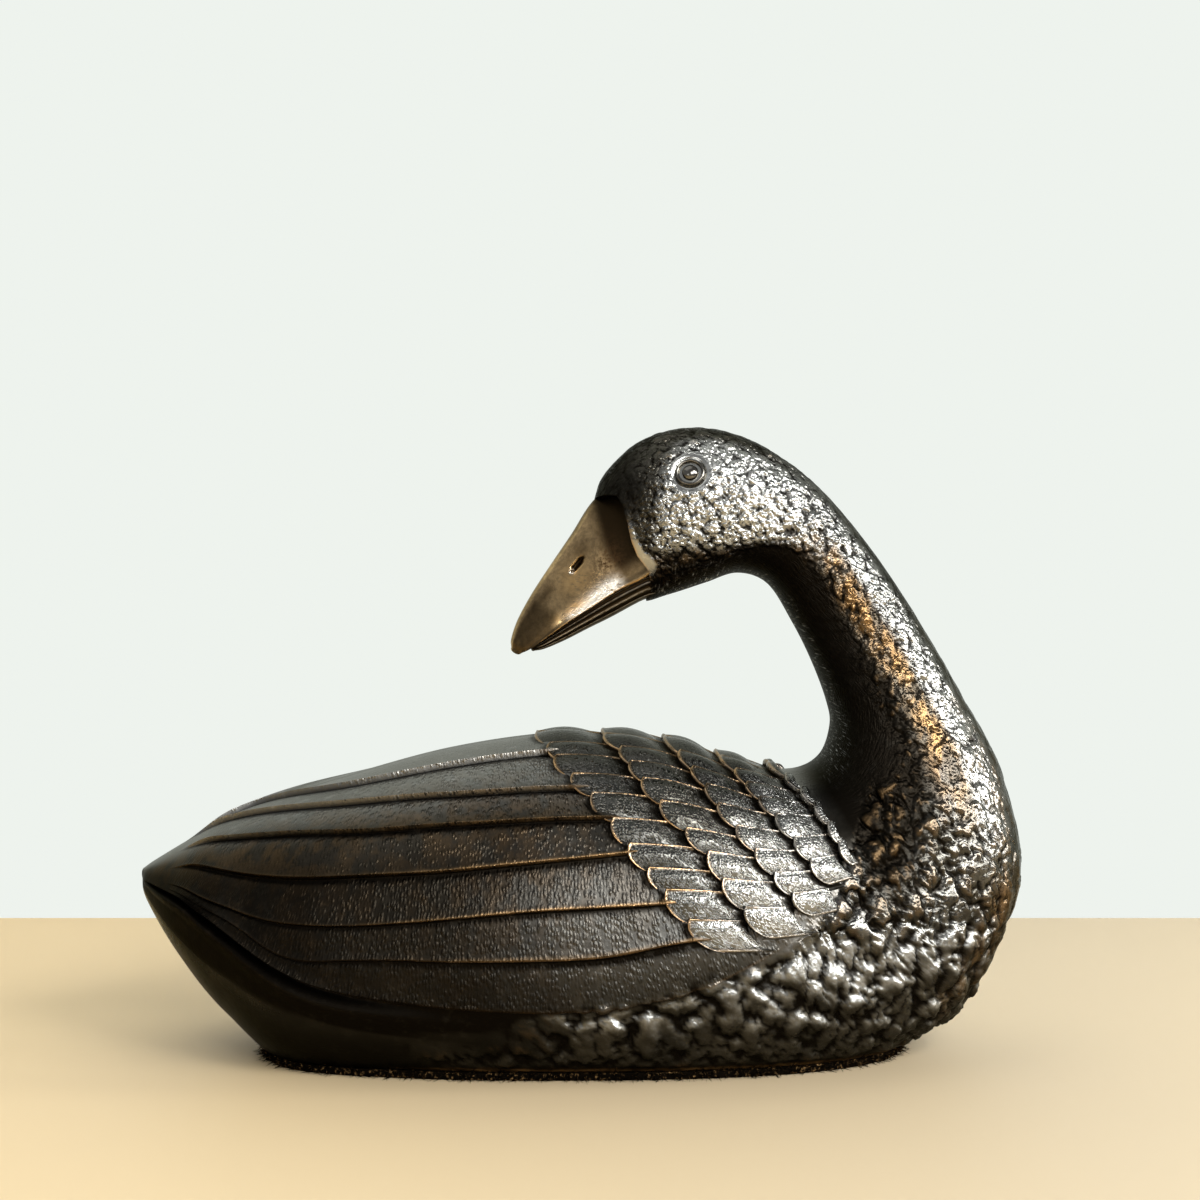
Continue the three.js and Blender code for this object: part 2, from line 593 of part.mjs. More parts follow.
function upperBill() {
  const blade = billLoft(UPPER_BILL, UPPER_BILL_SLICE, 1).intersect(billPocket(FIT_GAP));
  return blade.add(tenon(0)).subtract(wasm.Manifold.union([nostril(-1), nostril(1)]));
}

const lowerBill = () =>
  billLoft(LOWER_BILL, LOWER_BILL_SLICE, LOWER_BILL_SHARE)
    .intersect(billPocket(FIT_GAP))
    .add(lowerTenon(0));

function eyeStud(side) {
  const { at, look } = eyeSeat(side);
  const seat = FIT_GAP;
  const dome = evenly(0, 90, 4).map((t) => [
    EYE_RADIUS * Math.cos(radians(t)),
    seat + EYE_DOME * Math.sin(radians(t)),
  ]);
  const shank = [[0, -EYE_SHANK_LENGTH], [EYE_SHANK_RADIUS, -EYE_SHANK_LENGTH], [EYE_SHANK_RADIUS, seat]];
  const profile = [...shank, ...dome.slice(0, -1), [0, seat + EYE_DOME]];
  return turned(profile, at.addScaledVector(look, -EYE_RECESS), look);
}

function eyeRing(side) {
  const { at, look } = eyeSeat(side);
  const r = EYE_RING_WIRE;
  const wire = evenly(0, 360, 8).map((t) => [
    EYE_RING_RADIUS + r * Math.cos(radians(t)),
    FIT_GAP + r + r * Math.sin(radians(t)),
  ]);
  return turned(wire, at.addScaledVector(look, -EYE_RECESS), look, 24);
}

function closingPlate() {
  const blank = solid(slab(PLATE_LIP + FIT_GAP, FELT_THICKNESS, PLATE_THICKNESS - FIT_GAP));
  const holes = screws.map((p) => {
    const head = SCREW_HEAD_RADIUS + FIT_GAP;
    const shank = SCREW_RADIUS + FIT_GAP;
    const top = PLATE_THICKNESS + 1;
    const profile = [
      [0, -1], [head, -1], [head, 0.2], [shank, SCREW_HEAD_DEPTH + 0.2], [shank, top], [0, top],
    ];
    return solid(turned(profile, footOf(p, FELT_THICKNESS), up));
  });
  return blank.subtract(wasm.Manifold.union(holes));
}

// A countersunk screw, its slotted head flush with the plate's underside.
function plateScrew(place) {
  const profile = [
    [0, 0], [SCREW_HEAD_RADIUS, 0], [SCREW_HEAD_RADIUS, 0.2], [SCREW_RADIUS, SCREW_HEAD_DEPTH],
    [SCREW_RADIUS, SCREW_LENGTH - 1], [SCREW_RADIUS - 0.8, SCREW_LENGTH - 0.2], [0, SCREW_LENGTH - 0.2],
  ];
  const foot = footOf(place, FELT_THICKNESS);
  const slot = new THREE.BoxGeometry(SCREW_HEAD_RADIUS * 3, SCREW_SLOT, SCREW_HEAD_DEPTH);
  return solid(turned(profile, foot, up)).subtract(solid(slot.translate(foot.x, foot.y, foot.z)));
}

// A pin of the sleeve joint, its outer end just under the skin.
const sleevePin = ({ outer, direction }) =>
  rod(PIN_RADIUS, pinLength - PIN_SINK, outer.clone().addScaledVector(direction, -pinLength), direction);

const duck = new THREE.Group();
function place(name, geometry, material) {
  const shape = geometryOf(geometry.isBufferGeometry ? solid(geometry) : geometry);
  shape.computeVertexNormals();
  const mesh = new THREE.Mesh(shape, material);
  mesh.name = name;
  duck.add(mesh);
}

place("body_casting", bodyCasting(), materials.patina);
place("neck_and_head_casting", neckHeadCasting(), materials.patina);
place("upper_bill", upperBill(), materials.bill);
place("lower_bill", lowerBill(), materials.bill);
for (const [name, side] of Object.entries(eyes)) {
  place(`eye_${name}`, eyeStud(side), materials.eye);
  place(`eye_ring_${name}`, eyeRing(side), materials.eye);
}
for (const [i, name] of ["back", "right", "breast", "left"].entries())
  place(`neck_pin_${name}`, sleevePin(pins[i]), materials.patina);
place("closing_plate", closingPlate(), materials.plate);
screws.forEach((p, i) => place(`plate_screw_${i + 1}`, plateScrew(p), materials.screw));
place("felt_pad", slab(FELT_INSET, 0, FELT_THICKNESS), materials.felt);

export default duck;
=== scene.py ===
"""A cast bronze duck at rest, its neck arched back over its body, dressed round the CAD frame.

The whole bird is one sweep of flat slices, as in the part's own drawing: section 0 is the tip of
the tail and section 21 the root of the bill, and a place on the skin is a section and an angle in
degrees, 0 on the back (the throat, past the neck's arch) and 180 on the keel (the crown).
"""

import logging
import math
from collections.abc import Callable
from dataclasses import dataclass
from enum import Enum

import bpy
import numpy as np
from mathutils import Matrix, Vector


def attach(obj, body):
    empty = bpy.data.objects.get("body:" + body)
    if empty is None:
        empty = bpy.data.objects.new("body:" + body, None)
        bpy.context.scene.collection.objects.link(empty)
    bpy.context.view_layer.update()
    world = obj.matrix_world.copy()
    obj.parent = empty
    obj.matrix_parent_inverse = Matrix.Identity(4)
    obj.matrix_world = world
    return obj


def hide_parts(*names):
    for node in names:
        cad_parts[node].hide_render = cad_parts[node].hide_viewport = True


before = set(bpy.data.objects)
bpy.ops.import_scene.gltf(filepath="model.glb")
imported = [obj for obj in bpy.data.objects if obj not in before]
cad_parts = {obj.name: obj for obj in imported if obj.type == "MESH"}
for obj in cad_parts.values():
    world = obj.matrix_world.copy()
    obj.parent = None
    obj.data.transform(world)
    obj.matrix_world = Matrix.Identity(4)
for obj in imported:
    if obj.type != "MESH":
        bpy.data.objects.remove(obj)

LOG = logging.getLogger("duck")
MM = 0.001
Array = np.ndarray
NUMBER, VECTOR, GEOMETRY = "NodeSocketFloat", "NodeSocketVector", "NodeSocketGeometry"


class Slot(Enum):
    """Names of the record's material slots."""

    PATINA = "patinated_bronze"
    BILL = "polished_bronze"
    EYE = "eye_bronze"
    FELT = "felt"


# Small maths


def smooth(x: Array, low: float, high: float) -> Array:
    """Smooth step from 0 at low to 1 at high."""
    t = np.clip((x - low) / (high - low), 0.0, 1.0)
    return t * t * (3 - 2 * t)


def falls(x: Array, high: float, low: float) -> Array:
    """Smooth step from 1 at high to 0 at low."""
    return 1 - smooth(x, high, low)


def window(x: Array, low: float, full: float, still: float, high: float) -> Array:
    """Rises from 0 at low to 1 at full and falls from still back to 0 at high."""
    return smooth(x, low, full) * falls(x, still, high)


def bell(x: Array, centre: float, width: float) -> Array:
    """Bell curve of height 1."""
    return np.exp(-(((x - centre) / width) ** 2))


def eased(points: tuple, x: Array, blur: float = 0.25) -> Array:
    """Value of a line through [x, value] points, with its corners rounded.

    Args:
        points: the line's points, held flat past both ends.
        x: where to read it.
        blur: half of the run over which corners are rounded.

    Returns:
        The values at x.
    """
    xs, ys = np.array(points, float).T
    shifts = np.linspace(-blur, blur, 7)
    return np.mean([np.interp(x + d, xs, ys) for d in shifts], axis=0)


def curve_through(rows: Array, x: Array) -> Array:
    """Smooth curve through rows of values (Catmull-Rom).

    Args:
        rows: the values, one row for each whole number of x.
        x: where to read them.

    Returns:
        An array with the shape of x and one more axis for the values.
    """
    rows = np.asarray(rows, float)
    last = len(rows) - 1
    i = np.clip(np.floor(x).astype(int), 0, last - 1)
    t = (x - i)[..., None]
    b, c = rows[i], rows[i + 1]
    a = np.where((i > 0)[..., None], rows[np.maximum(i - 1, 0)], 2 * b - c)
    d = np.where((i + 2 <= last)[..., None], rows[np.minimum(i + 2, last)], 2 * c - b)
    cubic = (3 * b - a - 3 * c + d) * t**3
    return 0.5 * (2 * b + (c - a) * t + (2 * a - 5 * b + 4 * c - d) * t**2 + cubic)


def last_kept(low: Array, high: Array, kept: Callable[[Array], Array], steps: int) -> Array:
    """Finds by halving how far values from low towards high are still kept.

    Args:
        low: values that are kept.
        high: values that aren't.
        kept: says which values are kept.
        steps: how many times the range is halved.

    Returns:
        The last values that are kept.
    """
    for _ in range(steps):
        middle = (low + high) / 2
        good = kept(middle)
        low, high = np.where(good, middle, low), np.where(good, high, middle)
    return low


def unit(v: Array) -> Array:
    """Vectors brought to length 1."""
    return v / np.maximum(np.linalg.norm(v, axis=-1, keepdims=True), 1e-12)


def grid_faces(rows: int, columns: int, closed: bool = True, looped: bool = False) -> Array:
    """Quads of a grid of points, row after row.

    Args:
        rows: number of rows of points.
        columns: number of points in a row.
        closed: whether the last column joins the first.
        looped: whether the last row joins the first.

    Returns:
        An array of four corner numbers for each face.
    """
    r = np.arange(rows if looped else rows - 1)[:, None] * columns
    after = (r + columns) % (rows * columns)
    c = np.arange(columns if closed else columns - 1)[None]
    d = (c + 1) % columns
    return np.stack([r + c, r + d, after + d, after + c], -1).reshape(-1, 4)


def fan_faces(ring: Array, centre: int, flip: bool) -> list[list[int]]:
    """Triangles from a ring of points to a point in its middle.

    Args:
        ring: the ring's point numbers.
        centre: the middle point's number.
        flip: whether the triangles go round against the ring.

    Returns:
        Three corner numbers for each face.
    """
    nexts = np.roll(ring, -1)
    pairs = zip(nexts, ring) if flip else zip(ring, nexts)
    return [[int(a), int(b), centre] for a, b in pairs]


# Meshes


def make_piece(
    name: str,
    points: Array,
    faces: list | Array,
    material: bpy.types.Material,
    uv: Array | None = None,
    normals: Array | None = None,
    values: dict[str, Array] | None = None,
) -> bpy.types.Object:
    """Makes a mesh object at the origin.

    Args:
        name: name of the object.
        points: vertices, in metres.
        faces: corner numbers of each face.
        material: its only material.
        uv: two values for each corner of each face.
        normals: one normal for each vertex.
        values: named values, one for each vertex.

    Returns:
        The object, linked to the scene.
    """
    mesh = bpy.data.meshes.new(name)
    mesh.from_pydata(points.tolist(), [], faces if isinstance(faces, list) else faces.tolist())
    mesh.polygons.foreach_set("use_smooth", np.ones(len(mesh.polygons), bool))
    if uv is not None:
        mesh.uv_layers.new(name="UVMap").data.foreach_set("uv", np.asarray(uv, float).ravel())
    for key, value in (values or {}).items():
        attribute = mesh.attributes.new(key, "FLOAT", "POINT")
        attribute.data.foreach_set("value", np.asarray(value, np.float32).ravel())
    mesh.materials.append(material)
    if normals is not None:
        mesh.normals_split_custom_set_from_vertices(normals.tolist())
    mesh.update()
    piece = bpy.data.objects.new(name, mesh)
    bpy.context.scene.collection.objects.link(piece)
    return piece


def evaluated(piece: bpy.types.Object) -> bpy.types.Mesh:
    """The mesh of a piece with its modifiers applied, as a new plain mesh."""
    graph = bpy.context.evaluated_depsgraph_get()
    source = piece.evaluated_get(graph)
    return bpy.data.meshes.new_from_object(source, preserve_all_data_layers=True, depsgraph=graph)


def settle(piece: bpy.types.Object) -> None:
    """Turns what a piece's modifiers make into its own mesh and removes them."""
    made = evaluated(piece)
    piece.modifiers.clear()
    old = piece.data
    name = old.name
    piece.data = made
    bpy.data.meshes.remove(old)
    made.name = name


def points_of(mesh: bpy.types.Mesh) -> Array:
    """Vertices of a mesh as an array."""
    flat = np.empty(len(mesh.vertices) * 3, np.float32)
    mesh.vertices.foreach_get("co", flat)
    return flat.reshape(-1, 3).astype(float)


# Node trees


class Wires:
    """Adds nodes to a tree and joins them in a few words."""

    def __init__(self, tree: bpy.types.NodeTree) -> None:
        """Starts on a tree that may already hold nodes."""
        self.tree = tree

    def add(self, kind: str, settings: dict | None = None, **inputs: object) -> bpy.types.Node:
        """Adds a node.

        Args:
            kind: the node's type.
            settings: its properties.
            inputs: values or sockets, by input name with _ for a space.

        Returns:
            The node.
        """
        node = self.tree.nodes.new(kind)
        for key, value in (settings or {}).items():
            setattr(node, key, value)
        for key, value in inputs.items():
            self.feed(node.inputs[key.replace("_", " ")], value)
        return node

    def feed(self, socket: bpy.types.NodeSocket, value: object) -> None:
        """Joins a socket to another one, or sets it to a value."""
        if isinstance(value, bpy.types.NodeSocket):
            self.tree.links.new(value, socket)
        else:
            socket.default_value = value

    def fill(self, node: bpy.types.Node, values: dict[str | int, object]) -> None:
        """Feeds many inputs of a node, by name or number."""
        for key, value in values.items():
            self.feed(node.inputs[key], value)

    def math(self, operation: str, *values: object, clamp: bool = False) -> bpy.types.NodeSocket:
        """Result of a Math node on up to three values or sockets."""
        node = self.add("ShaderNodeMath", {"operation": operation, "use_clamp": clamp})
        self.fill(node, dict(enumerate(values)))
        return node.outputs[0]

    def times(self, *values: object, clamp: bool = False) -> bpy.types.NodeSocket:
        """Product of two values."""
        return self.math("MULTIPLY", *values, clamp=clamp)

    def plus(self, *values: object, clamp: bool = False) -> bpy.types.NodeSocket:
        """Sum of two values."""
        return self.math("ADD", *values, clamp=clamp)

    def ramp(
        self, value: object, low: float, high: float, to_low: float = 0.0, to_high: float = 1.0
    ) -> bpy.types.NodeSocket:
        """Smooth map of a value from one range to another."""
        node = self.add("ShaderNodeMapRange", {"interpolation_type": "SMOOTHSTEP"})
        self.fill(node, dict(enumerate((value, low, high, to_low, to_high))))
        return node.outputs["Result"]

    def mix(self, factor: object, a: object, b: object) -> bpy.types.NodeSocket:
        """Mix of two colours."""
        node = self.add("ShaderNodeMix", {"data_type": "RGBA"})
        sockets = [s for s in node.inputs if s.enabled]
        for socket, value in zip(sockets, (factor, a, b)):
            self.feed(socket, value)
        return next(s for s in node.outputs if s.enabled)

    def vector(self, operation: str, *values: object, **inputs: object) -> bpy.types.NodeSocket:
        """Result of a Vector Math node on vectors and named inputs."""
        node = self.add("ShaderNodeVectorMath", {"operation": operation}, **inputs)
        self.fill(node, dict(enumerate(values)))
        return node.outputs[0]

    def scaled(self, vector: object, scale: object) -> bpy.types.NodeSocket:
        """A vector with its axes scaled."""
        return self.vector("MULTIPLY", vector, scale)

    def grown(self, vector: object, factor: object) -> bpy.types.NodeSocket:
        """A vector times one number."""
        return self.vector("SCALE", vector, Scale=factor)

    def moved(self, vector: object, by: object) -> bpy.types.NodeSocket:
        """Sum of two vectors."""
        return self.vector("ADD", vector, by)

    def parts(self, vector: object) -> bpy.types.NodeOutputs:
        """Components of a vector, as the outputs X, Y and Z."""
        return self.add("ShaderNodeSeparateXYZ", Vector=vector).outputs

    def carried(self, name: str) -> bpy.types.NodeSocket:
        """A value that a shaded piece carries."""
        return self.add("ShaderNodeAttribute", {"attribute_name": name}).outputs["Fac"]

    def place(self) -> bpy.types.NodeSocket:
        """Place on a shaded piece, in its own coordinates."""
        return self.add("ShaderNodeTexCoord").outputs["Object"]

    def noise(
        self, vector: object, scale: object, detail: float = 3.0, roughness: float = 0.55
    ) -> bpy.types.NodeSocket:
        """Value of a noise texture."""
        inputs = {"Vector": vector, "Scale": scale, "Detail": detail, "Roughness": roughness}
        return self.add("ShaderNodeTexNoise", **inputs).outputs[0]

    def noise_vector(self, vector: object, scale: object) -> bpy.types.NodeSocket:
        """Vector of a noise texture, about 0.5."""
        return self.add("ShaderNodeTexNoise", Vector=vector, Scale=scale, Detail=2.0).outputs["Color"]

    def cells(self, vector: object, scale: object, randomness: float = 1.0) -> bpy.types.NodeSocket:
        """Distance of a Voronoi texture."""
        node = self.add("ShaderNodeTexVoronoi", Vector=vector, Scale=scale, Randomness=randomness)
        return node.outputs["Distance"]

    def bump(self, height: object, distance: float = MM, strength: float = 1.0) -> bpy.types.NodeSocket:
        """Normal of a surface bumped by a height."""
        node = self.add("ShaderNodeBump", Height=height, Distance=distance, Strength=strength)
        return node.outputs["Normal"]


def new_material(name: str) -> tuple[bpy.types.Material, Wires, bpy.types.Node]:
    """Makes a material: itself, its wires and its Principled node."""
    made = bpy.data.materials.new(name)
    made.use_nodes = True
    return made, Wires(made.node_tree), made.node_tree.nodes["Principled BSDF"]


def new_group(
    name: str, kind: str, inputs: list[tuple[str, str, object]], outputs: list[tuple[str, str]]
) -> tuple[bpy.types.NodeTree, Wires, bpy.types.Node, bpy.types.Node]:
    """Makes a node group with named sockets.

    Args:
        name: name of the group.
        kind: GeometryNodeTree or ShaderNodeTree.
        inputs: name, socket type and first value of each input.
        outputs: name and socket type of each output.

    Returns:
        The group, its wires, its input node and its output node.
    """
    group = bpy.data.node_groups.new(name, kind)
    for key, socket_type, value in inputs:
        socket = group.interface.new_socket(key, in_out="INPUT", socket_type=socket_type)
        if value is not None:
            socket.default_value = value
    for key, socket_type in outputs:
        group.interface.new_socket(key, in_out="OUTPUT", socket_type=socket_type)
    wires = Wires(group)
    return group, wires, wires.add("NodeGroupInput"), wires.add("NodeGroupOutput")


def run_nodes(piece: bpy.types.Object, group: bpy.types.NodeTree, values: dict[str, object]) -> None:
    """Puts a Geometry Nodes group on a piece with its inputs set, and settles it.

    Args:
        piece: the piece that it changes.
        group: the node group.
        values: its inputs by name.
    """
    modifier = piece.modifiers.new(group.name, "NODES")
    modifier.node_group = group
    for item in group.interface.items_tree:
        if item.item_type == "SOCKET" and item.in_out == "INPUT" and item.name in values:
            modifier[item.identifier] = values[item.name]
    settle(piece)


# The drawing


@dataclass(frozen=True)
class Sweep:
    """The bird's skin as a row of flat rounded slices."""

    # Each row: point on the back line (x, z), point on the keel line (x, z), half width, and how
    # far down it is widest. Millimetres.
    slices: tuple = (
        (-159.9, 65.0, -159.4, 60.5, 4.0, 0.50),
        (-154.0, 69.0, -156.5, 53.0, 16.0, 0.50),
        (-137.5, 78.5, -143.5, 34.0, 35.0, 0.50),
        (-116.5, 87.5, -126.0, 13.5, 49.5, 0.48),
        (-86.0, 97.0, -99.0, -6.5, 64.0, 0.47),
        (-47.5, 107.5, -49.5, -13.5, 71.0, 0.50),
        (-7.5, 113.0, -4.0, -15.0, 72.0, 0.52),
        (27.5, 111.5, 43.5, -13.5, 70.0, 0.52),
        (56.5, 103.5, 84.5, -7.5, 65.0, 0.51),
        (76.5, 101.0, 117.5, 3.5, 57.5, 0.50),
        (87.5, 106.0, 141.5, 20.5, 50.0, 0.50),
        (91.5, 117.0, 159.5, 61.5, 40.0, 0.50),
        (90.0, 126.5, 153.5, 99.5, 31.5, 0.50),
        (84.5, 141.0, 138.5, 129.0, 26.0, 0.50),
        (77.5, 155.0, 122.5, 157.0, 23.0, 0.50),
        (68.5, 169.0, 105.0, 183.0, 22.5, 0.50),
        (57.5, 173.0, 85.5, 205.5, 24.0, 0.50),
        (46.0, 169.5, 63.0, 221.0, 25.5, 0.50),
        (37.0, 166.5, 41.5, 226.0, 25.0, 0.50),
        (30.5, 164.5, 22.5, 221.5, 22.0, 0.50),
        (26.0, 163.0, 9.0, 209.5, 18.0, 0.50),
        (23.5, 162.5, 4.5, 198.5, 15.0, 0.50),
    )
    roundness: float = 2.2

    @property
    def last(self) -> float:
        """Number of the last section."""
        return len(self.slices) - 1.0

    def skin(self, s: Array, degrees: Array) -> Array:
        """Points of the smooth skin.

        Args:
            s: sections.
            degrees: angles round from the back line.

        Returns:
            Points in metres.
        """
        s, degrees = np.broadcast_arrays(np.asarray(s, float), np.asarray(degrees, float))
        bx, bz, kx, kz, half, widest = np.moveaxis(curve_through(self.slices, s), -1, 0)
        c, n = np.cos(np.radians(degrees)), np.sin(np.radians(degrees))
        power = 2 / self.roundness
        c, n = np.sign(c) * np.abs(c) ** power, np.sign(n) * np.abs(n) ** power
        share = widest - np.where(c > 0, c * widest, c * (1 - widest))
        return np.stack([bx + (kx - bx) * share, -half * n, bz + (kz - bz) * share], -1) * MM

    def outward(self, s: Array, degrees: Array) -> Array:
        """Unit normals of the smooth skin, out of the metal."""
        step = 0.02
        before, after = np.maximum(s - step, 0), np.minimum(s + step, self.last)
        lengthwise = self.skin(after, degrees) - self.skin(before, degrees)
        around = self.skin(s, np.asarray(degrees) + 1) - self.skin(s, np.asarray(degrees) - 1)
        return unit(np.cross(around, lengthwise))

    def lifted(self, s: Array, degrees: Array, lift: Array) -> Array:
        """Points a lift in millimetres above the smooth skin."""
        return self.skin(s, degrees) + self.outward(s, degrees) * np.asarray(lift)[..., None] * MM

    def evenly(self, start: float, end: float, count: int) -> Array:
        """Sections that divide a stretch of the bird into runs of like length.

        Args:
            start: first section.
            end: last section.
            count: how many runs.

        Returns:
            The sections, one more than the runs.
        """
        fine = np.linspace(start, end, 400)
        lines = self.skin(fine[:, None], np.array([0.0, 90.0, 180.0])[None])
        steps = np.linalg.norm(np.diff(lines, axis=0), axis=-1)
        run = np.concatenate([[0], np.cumsum(steps.mean(1) + 0.5 * steps.max(1))])
        return np.interp(np.linspace(0, run[-1], count + 1), run, fine)


SWEEP = Sweep()

# Side view of the edge where the head's plumage ends and the bill begins, from the brow down.
BROW_LINE = (
    (2.0, 199.5), (8.5, 200.8), (13.0, 200.4), (15.2, 197.0), (16.8, 191.0), (18.4, 184.5),
    (20.8, 178.5), (24.6, 173.4), (25.4, 169.0), (24.0, 162.0),
)

# Lower edge of each flight feather, from the back down, as (section, degrees from the back).
QUILL_EDGES = (
    ((3.0, 1), (3.08, 2), (3.92, 17), (4.52, 22), (5, 23), (5.9, 23), (7, 22)),
    ((2.1, 10), (2.63, 16), (3.65, 28), (4.35, 35), (4.92, 39), (5.38, 41), (6.4, 42), (7, 42)),
    ((1.83, 32), (2.98, 42), (3.82, 46), (4.5, 51), (5.5, 53), (6.4, 53), (7, 52)),
    ((2.08, 56), (3.13, 65), (3.78, 67), (5, 68), (6, 66), (6.57, 64), (7, 62)),
    ((2.1, 74), (2.65, 79), (3.57, 84), (4.35, 84), (5, 82), (5.63, 80), (6.87, 78), (7.2, 77)),
    ((2.1, 79), (3.3, 88.5), (3.9, 95), (4.58, 92), (5, 92), (6.2, 91), (6.5, 90), (7.05, 87)),
    (
        (2.12, 82), (3.28, 93), (3.9, 99), (4.38, 103), (5.08, 105), (5.8, 106), (6.28, 106),
        (7.07, 101), (7.65, 92), (8.13, 87), (8.65, 79), (9.08, 74), (9.4, 70),
    ),
)
WING_EDGE = QUILL_EDGES[-1]

# Where the hammered plumage of the breast, the neck and the cheek begins, in the same way.
LUMP_LINE = (
    (5.5, 113), (5.67, 108), (5.9, 106), (6.28, 103), (6.67, 102), (7.0, 99), (7.5, 92),
    (7.83, 89), (8.15, 85), (8.77, 75), (9.23, 63), (9.93, 53), (10.28, 52), (11.3, 70),
    (12.1, 66), (12.78, 69), (13.63, 75), (14.18, 78), (14.68, 80), (15.15, 82), (15.53, 76),
    (17, 40), (21, 20),
)


# Finishes


def grain_group() -> bpy.types.NodeTree:
    """Shader group of the chaser's small tool marks.

    Returns:
        A group that takes masks and puts out a height in millimetres, flecks and thin hair lines.
    """
    masks = ("Dashes", "Stipple", "Strokes", "Hair Mask", "Pits")
    inputs = [("Flow", VECTOR, None), ("Place", VECTOR, None)]
    inputs += [(name, NUMBER, 0.0) for name in masks]
    outputs = [(name, NUMBER) for name in ("Height", "Fleck", "Hairs")]
    group, w, source, result = new_group("tool marks", "ShaderNodeTree", inputs, outputs)
    get = source.outputs
    flow, place = get["Flow"], get["Place"]
    sway = w.scaled(w.moved(w.noise_vector(flow, 0.25), (-0.5, -0.5, 0.0)), (1.2, 1.2, 0.0))
    woven = w.moved(flow, sway)
    dash = w.cells(w.scaled(woven, (0.95, 0.44, 1.0)), 1.0, randomness=0.7)
    dash = w.ramp(dash, 0.1, 0.7, 1.0, 0.0)
    dash = w.times(dash, w.ramp(w.noise(flow, 0.22), 0.32, 0.6, 0.3, 1.0))
    stipple = w.ramp(w.cells(place, 560.0), 0.05, 0.75, 1.0, 0.0)
    stipple = w.plus(stipple, w.times(w.noise(place, 700.0, 3.0), 1.4))
    stroke = w.noise(w.scaled(woven, (0.14, 1.3, 1.0)), 1.0, 3.0, 0.6)
    pits = w.noise(place, 380.0, 4.0, 0.65)
    total = w.times(dash, get["Dashes"])
    for mark, name in ((stipple, "Stipple"), (stroke, "Strokes"), (pits, "Pits")):
        total = w.plus(total, w.times(mark, get[name]))
    hair = w.noise(w.scaled(woven, (1.3, 0.2, 1.0)), 1.0, 2.0, 0.5)
    fleck = w.ramp(w.noise(place, 210.0, 5.0, 0.7), 0.5, 0.72)
    hair_highlights = w.times(w.ramp(hair, 0.6, 0.68), get["Hair Mask"])
    w.fill(result, {"Height": total, "Fleck": fleck, "Hairs": hair_highlights})
    return group


def wear_group() -> bpy.types.NodeTree:
    """Shader group of rubbed edges: a worn mask broken up by noise.

    Returns:
        A group that takes a mask and an amount and puts out a broken mask and a tone.
    """
    inputs = [("Place", VECTOR, None), ("Worn", NUMBER, 0.0), ("Break", NUMBER, 0.5)]
    outputs = [("Mask", NUMBER), ("Tone", NUMBER)]
    group, w, source, result = new_group("rubbed edges", "ShaderNodeTree", inputs, outputs)
    place = source.outputs["Place"]
    patches = w.ramp(w.noise(place, 95.0, 5.0, 0.65), 0.36, 0.62)
    broken = w.math("SUBTRACT", 1.0, w.times(source.outputs["Break"], patches))
    mask = w.times(source.outputs["Worn"], broken, clamp=True)
    w.fill(result, {"Mask": mask, "Tone": w.noise(place, 26.0, 4.0, 0.6)})
    return group


